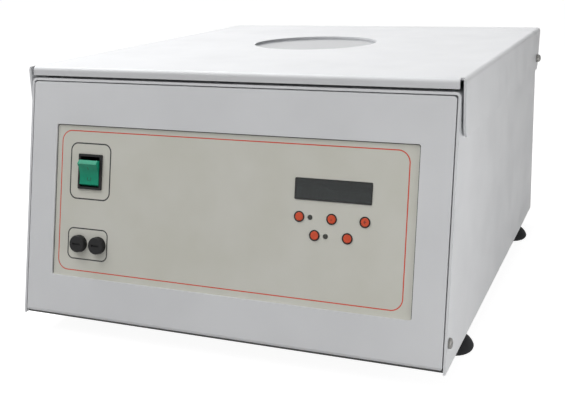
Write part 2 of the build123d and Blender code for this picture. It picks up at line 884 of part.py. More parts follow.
def lock_body():
    half = lock_half_depth
    left = -lock_slot_x - lock_wall
    bottom = lock_low
    body = slab(left, lock_right, striker_y - half, striker_y + half, bottom, deck_under)
    near = striker_y - lock_slot_y
    body -= slab(-lock_slot_x, lock_slot_x, near, near + 2 * lock_slot_y, bottom + lock_wall, case_top)
    body -= bar(left - over, lock_right + over, striker_y, eye_z, bolt_radius + running_gap)
    solenoid = bar(lock_right, lock_right + solenoid_length, striker_y, eye_z, solenoid_radius)
    return group([body, solenoid])


def lock_bolt():
    bolt = bar(bolt_tip, bolt_tip + bolt_length, striker_y, eye_z, bolt_radius)
    return chamfer(bolt.edges().group_by(Axis.X)[0], bolt_edge)


# Bowl -----------------------------------------------------------------------------------


def bowl():
    outer = post(0, axis_y, bowl_floor - bowl_sheet, case_top, bowl_outer)
    outer = fillet(outer.edges().group_by(Axis.Z)[0], bowl_corner + bowl_sheet)
    outer += post(0, axis_y, case_top, case_top + bowl_sheet, bowl_outer + bowl_flange)
    inner = post(0, axis_y, bowl_floor, case_top + bowl_sheet + over, bowl_inner)
    inner = fillet(inner.edges().group_by(Axis.Z)[0], bowl_corner)
    vessel = outer - inner
    middle = Pos(0, axis_y, bowl_floor + hump_height / 2)
    vessel += middle * Cone(hump_foot_radius, hump_top_radius, hump_height)
    cavity = Cone(hump_foot_radius - bowl_sheet, hump_top_radius - bowl_sheet, hump_height)
    vessel -= middle * Pos(0, 0, -bowl_sheet) * cavity
    vessel -= post(0, axis_y, bowl_floor, hump_top + over, shaft_hole_radius)
    return vessel


def bowl_seals():
    """The trim round the bowl's mouth and the seal round the shaft."""
    inner = bowl_outer + trim_inset
    low = case_top + bowl_sheet
    trim = ring(0, axis_y, low, low + trim_height, inner, inner + trim_width)
    trim = fillet(trim.edges().group_by(Axis.Z)[-1], trim_edge)
    seal = ring(0, axis_y, hump_top, hump_top + seal_height, shaft_radius + sheet_gap, seal_radius)
    return group([trim, seal])


def bowl_heater():
    low = bowl_floor + heater_from_floor
    high = sensor_low - heater_sensor_gap
    return ring(0, axis_y, low, high, bowl_outer + cushion_gap, bowl_outer + heater_sheet)


def temperature_sensor():
    width, depth, height = sensor_size
    near = axis_y - bowl_outer - depth
    block = slab(-width / 2, width / 2, near, axis_y, sensor_low, sensor_high)
    block -= post(0, axis_y, sensor_low - over, sensor_high + over, bowl_outer + cushion_gap)
    lead_low = sensor_low - sensor_lead_length
    return block + post(0, near + depth / 2, lead_low, sensor_low, sensor_lead_radius)


# Rotor ----------------------------------------------------------------------------------


def sleeve_place(number):
    """Where a sleeve's closed end sits; its +Z runs up and in towards the shaft."""
    turn = Pos(0, axis_y, 0) * Rot(0, 0, number * 360 / sleeve_count)
    return turn * Pos(sleeve_end_r, 0, sleeve_end_z) * Rot(0, sleeve_tilt - 90, 0)


def tube_sleeve(number):
    tube = Pos(0, 0, sleeve_length / 2) * Cylinder(sleeve_outer, sleeve_length)
    tube = fillet(tube.edges().group_by(Axis.Z)[0], sleeve_wall)
    rim = Cylinder(sleeve_outer + sleeve_rim, sleeve_rim_height)
    tube += Pos(0, 0, sleeve_length - sleeve_rim_height / 2) * rim
    bore = sleeve_length - sleeve_base + over
    tube -= Pos(0, 0, sleeve_base + bore / 2) * Cylinder(sleeve_bore_radius, bore)
    return sleeve_place(number) * tube


def sleeve_cushions():
    pad = Cylinder(sleeve_bore_radius - cushion_gap, cushion_height)
    pad = Pos(0, 0, sleeve_base + cushion_height / 2) * pad
    return group([sleeve_place(number) * pad for number in range(sleeve_count)])


def rotor_plate():
    rim_z = disc_z - (cone_outer - cone_inner_radius) * cone_rise
    bore = shaft_step_radius + thread_gap
    outline = [
        (bore, hub_low),
        (hub_radius, hub_low),
        (hub_radius, disc_z),
        (cone_inner_radius, disc_z),
        (cone_outer, rim_z),
        (cone_outer, rim_z + cone_sheet),
        (cone_inner_radius, disc_z + cone_sheet),
        (bore, disc_z + cone_sheet),
    ]
    disc = Pos(0, axis_y, 0) * revolve(Plane.XZ * make_face(Polyline(*outline, close=True)), Axis.Z)
    for number in range(sleeve_count):
        cut = Pos(0, 0, sleeve_length / 2) * Cylinder(sleeve_outer + thread_gap, sleeve_length)
        rim_low = sleeve_length - sleeve_rim_height - hole_gap
        rim_cut = Cylinder(sleeve_outer + sleeve_rim + hole_gap, sleeve_rim_height)
        cut += Pos(0, 0, rim_low + sleeve_rim_height / 2) * rim_cut
        disc -= sleeve_place(number) * cut
    return disc


def rotor_nut():
    nut = post(0, axis_y, nut_base, nut_base + rotor_nut_height, rotor_nut_radius)
    nut = fillet(nut.edges().group_by(Axis.Z)[-1], rotor_nut_edge)
    nut += post(0, axis_y, nut_base, nut_base + rotor_collar_height, rotor_collar_radius)
    return nut - post(0, axis_y, nut_base - over, shaft_top + sheet_gap, shaft_step_radius + thread_gap)


def motor_rotor():
    """The motor's shaft with the core pressed onto it."""
    shaft = post(0, axis_y, shaft_foot, hub_low, shaft_radius)
    shaft += post(0, axis_y, hub_low, shaft_top, shaft_step_radius)
    return shaft + post(0, axis_y, core_low, core_high, motor_core_radius)


# Motor ----------------------------------------------------------------------------------

core_low = shaft_foot + bearing_height + motor_core_room
core_high = motor_top - bearing_height - motor_core_room - motor_wall


def motor_stator():
    inner = motor_core_radius + motor_air_gap
    return ring(0, axis_y, core_low, core_high, inner, motor_radius - motor_wall - thread_gap)


def motor_housing():
    can = post(0, axis_y, motor_floor, motor_top, motor_radius)
    can = fillet(can.edges().group_by(Axis.Z)[-1], motor_edge)
    can += post(0, axis_y, motor_floor, motor_floor + motor_flange_sheet, motor_flange_radius)
    can -= post(0, axis_y, core_low - over, core_high + over, motor_radius - motor_wall)
    for low in bearing_floors:
        can -= post(0, axis_y, low, low + bearing_height, bearing_radius + thread_gap)
    can -= post(0, axis_y, motor_floor - over, motor_top + over, bearing_radius - bearing_shoulder)
    flange_top = motor_floor + motor_flange_sheet
    for x, y in motor_bolt_spots:
        can -= post(x, y, motor_floor - over, flange_top + over, motor_bolt_radius + hole_gap)
    return can


bearing_floors = [shaft_foot, motor_top - bearing_height - motor_wall / 2]
motor_bolt_turns = [2 * math.pi * n / motor_bolt_count for n in range(motor_bolt_count)]
motor_bolt_spots = [
    (motor_bolt_circle * math.cos(turn), axis_y + motor_bolt_circle * math.sin(turn))
    for turn in motor_bolt_turns
]


def motor_bearings():
    bore = shaft_radius + running_gap
    return group([ring(0, axis_y, low, low + bearing_height, bore, bearing_radius) for low in bearing_floors])


def motor_plate():
    low = motor_floor - motor_plate_sheet
    sheet = plate(0, axis_y, 2 * motor_plate_half, 2 * motor_plate_half, low, motor_floor, motor_edge)
    for x, y in motor_bolt_spots:
        sheet -= post(x, y, low - over, motor_floor + over, motor_bolt_radius + thread_gap)
    return sheet


def motor_bolts():
    top = motor_floor + motor_flange_sheet
    head = extrude(RegularPolygon(motor_bolt_head_radius, 6), motor_bolt_head_height)
    length = motor_flange_sheet + motor_plate_sheet + screw_tail
    bolt = head + Pos(0, 0, -length / 2) * Cylinder(motor_bolt_radius, length)
    return group([Pos(x, y, top) * bolt for x, y in motor_bolt_spots])


def motor_mounts():
    spread = motor_plate_half - motor_mount_inset
    top = base_top + motor_mount_height
    spots = [(a * spread, axis_y + b * spread) for a in (-1, 1) for b in (-1, 1)]
    return group([post(x, y, base_top, top, motor_mount_radius) for x, y in spots])


# Feet -----------------------------------------------------------------------------------


def feet():
    """Four bell-shaped rubber feet, each with a hollow underside and a well for its screw."""
    base = (foot_base_radius, 0)
    widest = (foot_radius, foot_radius_height)
    top = (foot_top_radius, foot_height)
    outline = make_face(
        Line((0, 0), base)
        + ThreePointArc(base, foot_rim, widest)
        + ThreePointArc(widest, foot_shoulder, foot_neck)
        + ThreePointArc(foot_neck, foot_neck_hollow, top)
        + Line(top, (0, foot_height))
        + Line((0, foot_height), (0, 0))
    )
    bell = revolve(Plane.XZ * outline, Axis.Z)
    bell -= post(0, 0, -over, foot_hollow_depth, foot_hollow_radius)
    bell -= post(0, 0, -over, foot_height - foot_screw_well, screw_head_radius + hole_gap)
    bell -= post(0, 0, -over, foot_height + over, screw_radius + hole_gap)
    return group([Pos(x, y, 0) * bell for x, y in foot_places])


# Power board and inner lead -------------------------------------------------------------

supply_width, supply_depth = supply_board
supply_right = inner_half - supply_from_right
supply_left = supply_right - supply_width
supply_front = front_y + supply_from_front
supply_back = supply_front + supply_depth
supply_top = base_top + supply_standoff + board_sheet


def board_standoffs():
    """The posts under the power board and behind the control board."""
    posts = []
    for x in (supply_left + supply_standoff_inset, supply_right - supply_standoff_inset):
        for y in (supply_front + supply_standoff_inset, supply_back - supply_standoff_inset):
            posts.append(post(x, y, base_top, base_top + supply_standoff, standoff_radius))
    spread_u = board_width / 2 - 2 * standoff_radius
    spread_v = board_height / 2 - 2 * standoff_radius
    middle = (board_face - panel_sheet) / 2
    for u in (display_u - spread_u, display_u + spread_u):
        for v in (board_v - spread_v, board_v + spread_v):
            posts.append(face.location * Pos(u, v, middle) * Cylinder(standoff_radius, display_module))
    return group(posts)


def standing_block(x, y, size):
    """A component standing on the power board, its near left corner at (x, y)."""
    width, depth, height = size
    return slab(x, x + width, y, y + depth, supply_top, supply_top + height)


def power_board():
    """The board with its transformer, heat sink and capacitors, each a solid of its own."""
    board = slab(supply_left, supply_right, supply_front, supply_back, supply_top - board_sheet, supply_top)
    near = supply_front + 2 * part_margin
    sink_x = supply_right - part_margin - heat_sink_size[0]
    sink_y = supply_back - part_margin - heat_sink_size[1]
    parts = [
        board,
        standing_block(supply_left + 2 * part_margin, near, transformer_size),
        standing_block(sink_x, sink_y, heat_sink_size),
    ]
    for n in range(2):
        x = supply_right - part_margin - capacitor_radius - n * (2 * capacitor_radius + capacitor_gap)
        parts.append(post(x, near, supply_top, supply_top + capacitor_height, capacitor_radius))
    return group(parts)


def terminal_covers():
    """The moulded covers over the terminals of the inlet and of the rocker."""
    width, height, depth = terminal_cover
    back = inlet_flange - inlet_depth
    inlet_side = rear_face.location * Pos(inlet_u, inlet_height, back - depth / 2) * Box(height, width, depth)
    switch_side = rocker_place * Pos(0, 0, -bezel_depth - depth / 2) * Box(width, height, depth)
    return group([inlet_side, switch_side])


def mains_lead():
    """The inner lead, from the back of the inlet to the back of the rocker."""
    cover_depth = terminal_cover[2]
    inlet_back = inlet_flange - inlet_depth - cover_depth
    inlet_end = rear_face.from_local_coords(Vector(inlet_u, inlet_height, inlet_back))
    back = label_face - bezel_depth - cover_depth
    switch_end = face.from_local_coords(Vector(rocker_u, rocker_v, back))
    rise = face.from_local_coords(Vector(rocker_u, rocker_v, back - lead_bend * math.sqrt(2)))
    corner = Vector(rise.X, rise.Y, inlet_end.Z)
    path = FilletPolyline(inlet_end, corner, rise, switch_end, radius=lead_bend)
    section = Plane(origin=inlet_end, z_dir=corner - inlet_end) * Circle(lead_radius)
    return sweep(section, path=path)


# Screws ---------------------------------------------------------------------------------


def pan_screws():
    """All the cross-head screws: sides, base, rear panel, inlet and feet."""
    side = pan_screw(case_sheet + panel_gap + panel_sheet + screw_tail)
    base = pan_screw(base_sheet + panel_sheet + screw_tail)
    rear = pan_screw(rear_sheet + case_sheet + screw_tail)
    inlet = pan_screw(inlet_flange + rear_sheet + screw_tail)
    foot_fixing = pan_screw(foot_screw_well + base_sheet + screw_tail)
    screws = [place * side for place in side_screw_places]
    screws += [Pos(x, y, case_bottom) * Rot(180, 0, 0) * base for x, y in base_screw_places]
    screws += [place * rear for place in rear_screw_places]
    foot_seat = foot_height - foot_screw_well
    screws += [Pos(x, y, foot_seat) * Rot(180, 0, 0) * foot_fixing for x, y in foot_places]
    for half in (-inlet_screw_pitch / 2, inlet_screw_pitch / 2):
        screws.append(rear_face.location * Pos(inlet_u + half, inlet_height, inlet_flange) * inlet)
    return group(screws)


# Write every piece to its own file ------------------------------------------------------

single = [
    case_shell, base_plate, rear_panel, pan_screws, power_inlet, inlet_pins, terminal_covers,
    front_panel, control_label, display_window, display_unit, control_board, board_standoffs,
    indicator_leds, key_collars, rocker_bezel, rocker_paddle, fuse_holders, fuses,
    lid_shell, lid_window, window_ring, hinge_screws, hinge_washers, lid_buffers,
    lid_striker, lock_body, lock_bolt, bowl, bowl_seals, bowl_heater, temperature_sensor,
    rotor_plate, sleeve_cushions, rotor_nut, motor_rotor, motor_stator, motor_housing,
    motor_bearings, motor_plate, motor_bolts, motor_mounts, feet, power_board, mains_lead,
]
pieces = {make.__name__: make() for make in single}
for number, (u, v) in enumerate(key_places, start=1):
    pieces[f"key_{number}"] = key(u, v)
for side, u in zip(("left", "right"), fuse_u):
    pieces[f"fuse_cap_{side}"] = fuse_cap(u)
for number in range(sleeve_count):
    pieces[f"tube_sleeve_{number + 1}"] = tube_sleeve(number)

os.makedirs("parts", exist_ok=True)
for name, solid in pieces.items():
    export_step(solid, f"parts/{name}.step")
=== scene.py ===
import json
import math
import bpy
from mathutils import Matrix, Vector


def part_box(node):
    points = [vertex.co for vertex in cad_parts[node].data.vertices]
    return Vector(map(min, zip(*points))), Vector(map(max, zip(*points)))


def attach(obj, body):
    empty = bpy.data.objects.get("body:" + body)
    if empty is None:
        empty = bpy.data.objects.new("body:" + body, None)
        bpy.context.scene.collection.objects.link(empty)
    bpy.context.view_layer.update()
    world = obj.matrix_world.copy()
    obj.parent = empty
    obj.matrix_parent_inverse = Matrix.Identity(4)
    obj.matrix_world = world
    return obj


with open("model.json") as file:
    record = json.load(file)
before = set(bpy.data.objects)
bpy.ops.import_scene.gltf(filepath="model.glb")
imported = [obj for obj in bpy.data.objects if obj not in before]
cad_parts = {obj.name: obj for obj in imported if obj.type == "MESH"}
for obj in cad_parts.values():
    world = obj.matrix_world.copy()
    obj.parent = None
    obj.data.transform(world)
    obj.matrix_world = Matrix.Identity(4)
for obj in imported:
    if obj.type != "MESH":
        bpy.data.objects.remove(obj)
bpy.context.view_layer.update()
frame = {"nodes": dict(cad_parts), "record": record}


# Case --------------------------------------------------------------------------------------
# The case is 2 mm mild steel, folded over the deck and both sides and sprayed with a polyester
# powder that is then baked. The front tray, the rear panel and the lid get the same coat.

mm = 0.001


def srgb(hex_colour):
    """A colour written as an sRGB hex value, as the linear values that a shader takes."""
    channels = [int(hex_colour[i:i + 2], 16) / 255 for i in (1, 3, 5)]
    return [c / 12.92 if c <= 0.04045 else ((c + 0.055) / 1.055) ** 2.4 for c in channels] + [1.0]


def add(tree, kind, settings=(), sockets=()):
    """Adds one node with its settings. A socket takes a value, or a link from another socket."""
    made = tree.nodes.new(kind)
    for name, value in dict(settings).items():
        setattr(made, name, value)
    for name, value in dict(sockets).items():
        if isinstance(value, bpy.types.NodeSocket):
            tree.links.new(value, made.inputs[name])
        else:
            made.inputs[name].default_value = value
    return made


def new_finish(name, colour, roughness, metallic=0.0):
    """A finish with its even colour and gloss on the shader, and the piece's own coordinates."""
    finish = bpy.data.materials.new(name)
    finish.use_nodes = True
    tree = finish.node_tree
    shader = tree.nodes["Principled BSDF"]
    shader.inputs["Base Color"].default_value = srgb(colour)
    shader.inputs["Roughness"].default_value = roughness
    shader.inputs["Metallic"].default_value = metallic
    place = add(tree, "ShaderNodeTexCoord").outputs["Object"]
    return finish, tree, shader, place


def finish_nodes(finish, *names):
    """Gives CAD pieces their finish."""
    for name in names:
        for slot in frame["nodes"][name].material_slots:
            slot.material = finish


# Polyester powder coat, sprayed and baked: a cool white with a satin gloss. The spray leaves
# a peel of about 2 mm, and the gloss drifts a little where the coat is thicker.
powder_coat, tree, shader, place = new_finish("powder_coat_white_satin", "#E7E8EA", 0.42)
tone = add(tree, "ShaderNodeTexNoise", {}, {"Vector": place, "Scale": 1 / (70 * mm)}).outputs["Fac"]
tone = {"Value": tone, "From Min": 0.3, "From Max": 0.7}
tone = add(tree, "ShaderNodeMapRange", {}, tone).outputs["Result"]
colour = {0: tone, 6: srgb("#E4E5E7"), 7: srgb("#EAEBED")}
colour = add(tree, "ShaderNodeMix", {"data_type": "RGBA"}, colour).outputs[2]
tree.links.new(colour, shader.inputs["Base Color"])
gloss = add(tree, "ShaderNodeTexNoise", {}, {"Vector": place, "Scale": 1 / (24 * mm)}).outputs["Fac"]
gloss = {"Value": gloss, "From Min": 0.3, "From Max": 0.7, "To Min": 0.36, "To Max": 0.47}
gloss = add(tree, "ShaderNodeMapRange", {}, gloss).outputs["Result"]
tree.links.new(gloss, shader.inputs["Roughness"])
height = {"Vector": place, "Scale": 1 / (2.2 * mm), "Detail": 1.0}
height = add(tree, "ShaderNodeTexNoise", {}, height).outputs["Fac"]
bump = add(tree, "ShaderNodeBump", {}, {"Height": height, "Distance": 0.012 * mm}).outputs["Normal"]
tree.links.new(bump, shader.inputs["Normal"])
finish_nodes(powder_coat, "case_shell")


# Base plate ----------------------------------------------------------------------------------
# The base plate closes the case below and carries the motor and the power board. It is steel
# sheet in a dark grey powder coat, whose dark grey is painted shade for the gap under the front panel.
# The brackets and the plate of the motor are zinc plated.

# Bright zinc on rolled sheet: a bluish, slightly cloudy metal with soft streaks along X.
zinc, tree, shader, place = new_finish("zinc_plated_sheet", "#B9BDC1", 0.38, 1.0)
tone = {"Vector": place, "Scale": 1 / (18 * mm), "Detail": 4.0}
tone = add(tree, "ShaderNodeTexNoise", {}, tone).outputs["Fac"]
tone = {"Value": tone, "From Min": 0.3, "From Max": 0.7}
tone = add(tree, "ShaderNodeMapRange", {}, tone).outputs["Result"]
colour = {0: tone, 6: srgb("#AEB3B8"), 7: srgb("#C4C7C9")}
colour = add(tree, "ShaderNodeMix", {"data_type": "RGBA"}, colour).outputs[2]
tree.links.new(colour, shader.inputs["Base Color"])
gloss = {"Vector": place, "Scale": 1 / (9 * mm), "Detail": 3.0}
gloss = add(tree, "ShaderNodeTexNoise", {}, gloss).outputs["Fac"]
gloss = {"Value": gloss, "From Min": 0.3, "From Max": 0.7, "To Min": 0.3, "To Max": 0.46}
gloss = add(tree, "ShaderNodeMapRange", {}, gloss).outputs["Result"]
tree.links.new(gloss, shader.inputs["Roughness"])
rolled = (1, 50, 50)
drawn = add(tree, "ShaderNodeMapping", {}, {"Vector": place, "Scale": rolled}).outputs["Vector"]
height = add(tree, "ShaderNodeTexNoise", {}, {"Vector": drawn, "Scale": 1 / (40 * mm)}).outputs["Fac"]
bump = add(tree, "ShaderNodeBump", {}, {"Height": height, "Distance": 0.01 * mm}).outputs["Normal"]
tree.links.new(bump, shader.inputs["Normal"])
finish_nodes(zinc, "motor_plate", "lock_body", "board_standoffs")

# Dark grey powder coat, matt and slightly rough. Its dark grey is painted shade: the plate's front edge, seen
# under the front panel, reads as the shadowed gap there.
dark_coat_with_painted_shade, tree, shader, place = new_finish("powder_coat_dark_grey", "#3A3A3A", 0.6)
tone = add(tree, "ShaderNodeTexNoise", {}, {"Vector": place, "Scale": 1 / (40 * mm)}).outputs["Fac"]
tone = {"Value": tone, "From Min": 0.3, "From Max": 0.7}
tone = add(tree, "ShaderNodeMapRange", {}, tone).outputs["Result"]
colour = {0: tone, 6: srgb("#373737"), 7: srgb("#3F3F3F")}
colour = add(tree, "ShaderNodeMix", {"data_type": "RGBA"}, colour).outputs[2]
tree.links.new(colour, shader.inputs["Base Color"])
height = {"Vector": place, "Scale": 1 / (1.8 * mm), "Detail": 1.0}
height = add(tree, "ShaderNodeTexNoise", {}, height).outputs["Fac"]
bump = add(tree, "ShaderNodeBump", {}, {"Height": height, "Distance": 0.02 * mm}).outputs["Normal"]
tree.links.new(bump, shader.inputs["Normal"])
finish_nodes(dark_coat_with_painted_shade, "base_plate")


# Feet ----------------------------------------------------------------------------------------
# Four bell feet of moulded natural rubber are screwed up through the base plate. The mould
# leaves them matt, with a fine pale bloom.

# Moulded rubber: near black, matt, with a dusty bloom and a grit of about 1 mm.
rubber, tree, shader, place = new_finish("moulded_rubber_black", "#1A1B1C", 0.8)
shader.inputs["Specular IOR Level"].default_value = 0.3
tone = {"Vector": place, "Scale": 1 / (6 * mm), "Detail": 3.0}
tone = add(tree, "ShaderNodeTexNoise", {}, tone).outputs["Fac"]
tone = {"Value": tone, "From Min": 0.3, "From Max": 0.7}
tone = add(tree, "ShaderNodeMapRange", {}, tone).outputs["Result"]
colour = {0: tone, 6: srgb("#171819"), 7: srgb("#232426")}
colour = add(tree, "ShaderNodeMix", {"data_type": "RGBA"}, colour).outputs[2]
tree.links.new(colour, shader.inputs["Base Color"])
height = {"Vector": place, "Scale": 1 / (1.0 * mm), "Detail": 1.0}
height = add(tree, "ShaderNodeTexNoise", {}, height).outputs["Fac"]
bump = add(tree, "ShaderNodeBump", {}, {"Height": height, "Distance": 0.03 * mm}).outputs["Normal"]
tree.links.new(bump, shader.inputs["Normal"])
finish_nodes(rubber, "feet", "motor_mounts", "lid_buffers", "bowl_seals", "sleeve_cushions")


# Motor ---------------------------------------------------------------------------------------
# The drive motor stands on rubber mounts under the bowl. Its housing is a turned aluminium
# casting, its shaft and bearings are ground steel, and its windings are varnished copper.

axis_y = 38.5 * mm

# Cast and turned aluminium: a soft grey metal with lathe marks, drawn 1.5 mm apart to show.
casting, tree, shader, place = new_finish("turned_aluminium_casting", "#B4B6B8", 0.42, 1.0)
tone = {"Vector": place, "Scale": 1 / (12 * mm), "Detail": 3.0}
tone = add(tree, "ShaderNodeTexNoise", {}, tone).outputs["Fac"]
tone = {"Value": tone, "From Min": 0.3, "From Max": 0.7}
tone = add(tree, "ShaderNodeMapRange", {}, tone).outputs["Result"]
colour = {0: tone, 6: srgb("#A7A9AB"), 7: srgb("#BEC0C2")}
colour = add(tree, "ShaderNodeMix", {"data_type": "RGBA"}, colour).outputs[2]
tree.links.new(colour, shader.inputs["Base Color"])
apart = {0: place, 1: (0, axis_y, 0)}
apart = add(tree, "ShaderNodeVectorMath", {"operation": "SUBTRACT"}, apart).outputs["Vector"]
parts = add(tree, "ShaderNodeSeparateXYZ", {}, {"Vector": apart}).outputs
flat = add(tree, "ShaderNodeCombineXYZ", {}, {"X": parts["X"], "Y": parts["Y"]}).outputs["Vector"]
radius = add(tree, "ShaderNodeVectorMath", {"operation": "LENGTH"}, {0: flat}).outputs["Value"]
rings = add(tree, "ShaderNodeCombineXYZ", {}, {"X": radius, "Y": parts["Z"]}).outputs["Vector"]
height = {"Vector": rings, "Scale": 1 / (1.5 * mm)}
height = add(tree, "ShaderNodeTexNoise", {"noise_dimensions": "2D"}, height).outputs["Fac"]
bump = add(tree, "ShaderNodeBump", {}, {"Height": height, "Distance": 0.02 * mm}).outputs["Normal"]
tree.links.new(bump, shader.inputs["Normal"])
finish_nodes(casting, "motor_housing")

# Ground steel: bright and slightly blue, with grinding marks round the shaft.
ground_steel, tree, shader, place = new_finish("ground_steel", "#C3C5C8", 0.22, 1.0)
apart = {0: place, 1: (0, axis_y, 0)}
apart = add(tree, "ShaderNodeVectorMath", {"operation": "SUBTRACT"}, apart).outputs["Vector"]
parts = add(tree, "ShaderNodeSeparateXYZ", {}, {"Vector": apart}).outputs
flat = add(tree, "ShaderNodeCombineXYZ", {}, {"X": parts["X"], "Y": parts["Y"]}).outputs["Vector"]
radius = add(tree, "ShaderNodeVectorMath", {"operation": "LENGTH"}, {0: flat}).outputs["Value"]
rings = add(tree, "ShaderNodeCombineXYZ", {}, {"X": radius, "Y": parts["Z"]}).outputs["Vector"]
lathe = {"Vector": rings, "Scale": 1 / (1.0 * mm)}
lathe = add(tree, "ShaderNodeTexNoise", {"noise_dimensions": "2D"}, lathe).outputs["Fac"]
gloss = {"Value": lathe, "From Min": 0.3, "From Max": 0.7, "To Min": 0.16, "To Max": 0.3}
gloss = add(tree, "ShaderNodeMapRange", {}, gloss).outputs["Result"]
tree.links.new(gloss, shader.inputs["Roughness"])
bump = add(tree, "ShaderNodeBump", {}, {"Height": lathe, "Distance": 0.004 * mm}).outputs["Normal"]
tree.links.new(bump, shader.inputs["Normal"])
finish_nodes(ground_steel, "motor_rotor", "motor_bearings")

# Varnished copper: warm brown wire in ridges 2 mm apart, under a thin glossy varnish. A wave
# texture has a ridge every 0.314 / scale metres.
wire_scale = 160.0
winding, tree, shader, place = new_finish("varnished_copper_winding", "#8A4A22", 0.32, 0.6)
shader.inputs["Coat Weight"].default_value = 0.6
wires = {"wave_type": "BANDS", "bands_direction": "Z"}
turns = add(tree, "ShaderNodeTexWave", wires, {"Vector": place, "Scale": wire_scale}).outputs["Fac"]
colour = {0: turns, 6: srgb("#6E3A1A"), 7: srgb("#A65B2B")}
colour = add(tree, "ShaderNodeMix", {"data_type": "RGBA"}, colour).outputs[2]
tree.links.new(colour, shader.inputs["Base Color"])
bump = add(tree, "ShaderNodeBump", {}, {"Height": turns, "Distance": 0.3 * mm}).outputs["Normal"]
tree.links.new(bump, shader.inputs["Normal"])
finish_nodes(winding, "motor_stator")


# Bowl ----------------------------------------------------------------------------------------
# The bowl is spun from stainless sheet round the motor's hump and hangs by its flange from
# the deck. A rubber trim lines its mouth, and a silicone mat warms its outer wall.

# Spun stainless steel: a bright neutral metal with rings from the spinning tool, 2 mm apart.
stainless, tree, shader, place = new_finish("spun_stainless_steel", "#C2C3C5", 0.3, 1.0)
apart = {0: place, 1: (0, axis_y, 0)}
apart = add(tree, "ShaderNodeVectorMath", {"operation": "SUBTRACT"}, apart).outputs["Vector"]
parts = add(tree, "ShaderNodeSeparateXYZ", {}, {"Vector": apart}).outputs
flat = add(tree, "ShaderNodeCombineXYZ", {}, {"X": parts["X"], "Y": parts["Y"]}).outputs["Vector"]
radius = add(tree, "ShaderNodeVectorMath", {"operation": "LENGTH"}, {0: flat}).outputs["Value"]
rings = add(tree, "ShaderNodeCombineXYZ", {}, {"X": radius, "Y": parts["Z"]}).outputs["Vector"]
rings = {"Vector": rings, "Scale": 1 / (2.0 * mm)}
rings = add(tree, "ShaderNodeTexNoise", {"noise_dimensions": "2D"}, rings).outputs["Fac"]
gloss = {"Value": rings, "From Min": 0.3, "From Max": 0.7, "To Min": 0.24, "To Max": 0.4}
gloss = add(tree, "ShaderNodeMapRange", {}, gloss).outputs["Result"]
tree.links.new(gloss, shader.inputs["Roughness"])
tone = add(tree, "ShaderNodeTexNoise", {}, {"Vector": place, "Scale": 1 / (30 * mm)}).outputs["Fac"]
tone = {"Value": tone, "From Min": 0.3, "From Max": 0.7}
tone = add(tree, "ShaderNodeMapRange", {}, tone).outputs["Result"]
colour = {0: tone, 6: srgb("#BBBCBE"), 7: srgb("#C9CACC")}
colour = add(tree, "ShaderNodeMix", {"data_type": "RGBA"}, colour).outputs[2]
tree.links.new(colour, shader.inputs["Base Color"])
bump = add(tree, "ShaderNodeBump", {}, {"Height": rings, "Distance": 0.008 * mm}).outputs["Normal"]
tree.links.new(bump, shader.inputs["Normal"])
finish_nodes(stainless, "bowl")

# Silicone heating mat: brick red, matt, with the ripple of the wire laid in it every 12 mm.
laid_wire_scale = 26.0
heating_mat, tree, shader, place = new_finish("silicone_heating_mat", "#8E3A28", 0.6)
laid = {"wave_type": "BANDS", "bands_direction": "Z"}
ripple = {"Vector": place, "Scale": laid_wire_scale, "Distortion": 0.4}
ripple = add(tree, "ShaderNodeTexWave", laid, ripple).outputs["Fac"]
colour = {0: ripple, 6: srgb("#843324"), 7: srgb("#98422E")}
colour = add(tree, "ShaderNodeMix", {"data_type": "RGBA"}, colour).outputs[2]
tree.links.new(colour, shader.inputs["Base Color"])
bump = add(tree, "ShaderNodeBump", {}, {"Height": ripple, "Distance": 0.25 * mm}).outputs["Normal"]
tree.links.new(bump, shader.inputs["Normal"])
finish_nodes(heating_mat, "bowl_heater")

# Turned brass: the sensor's shell, a warm yellow that has dulled in blotches.
brass, tree, shader, place = new_finish("dulled_brass", "#B89B5C", 0.34, 1.0)
tone = {"Vector": place, "Scale": 1 / (3 * mm), "Detail": 3.0}
tone = add(tree, "ShaderNodeTexNoise", {}, tone).outputs["Fac"]
tone = {"Value": tone, "From Min": 0.3, "From Max": 0.7}
tone = add(tree, "ShaderNodeMapRange", {}, tone).outputs["Result"]
colour = {0: tone, 6: srgb("#A98B4E"), 7: srgb("#C4A96A")}
colour = add(tree, "ShaderNodeMix", {"data_type": "RGBA"}, colour).outputs[2]
tree.links.new(colour, shader.inputs["Base Color"])
height = add(tree, "ShaderNodeTexNoise", {}, {"Vector": place, "Scale": 1 / (0.8 * mm)}).outputs["Fac"]
bump = add(tree, "ShaderNodeBump", {}, {"Height": height, "Distance": 0.01 * mm}).outputs["Normal"]
tree.links.new(bump, shader.inputs["Normal"])
finish_nodes(brass, "temperature_sensor", "inlet_pins")


# Rotor ---------------------------------------------------------------------------------------
# The rotor is turned from aluminium and clear anodised. Eight sleeves pass through its cone,
# each for one butterfat tube, and a domed nut holds it on the motor's shaft.

# Clear anodised aluminium: a pale satin grey, smoother than bare metal, with faint turning.
anodised, tree, shader, place = new_finish("clear_anodised_aluminium", "#C6C8CB", 0.34, 1.0)
tone = add(tree, "ShaderNodeTexNoise", {}, {"Vector": place, "Scale": 1 / (25 * mm)}).outputs["Fac"]
tone = {"Value": tone, "From Min": 0.3, "From Max": 0.7}
tone = add(tree, "ShaderNodeMapRange", {}, tone).outputs["Result"]
colour = {0: tone, 6: srgb("#BFC1C4"), 7: srgb("#CDCFD2")}
colour = add(tree, "ShaderNodeMix", {"data_type": "RGBA"}, colour).outputs[2]
tree.links.new(colour, shader.inputs["Base Color"])
apart = {0: place, 1: (0, axis_y, 0)}
apart = add(tree, "ShaderNodeVectorMath", {"operation": "SUBTRACT"}, apart).outputs["Vector"]
parts = add(tree, "ShaderNodeSeparateXYZ", {}, {"Vector": apart}).outputs
flat = add(tree, "ShaderNodeCombineXYZ", {}, {"X": parts["X"], "Y": parts["Y"]}).outputs["Vector"]
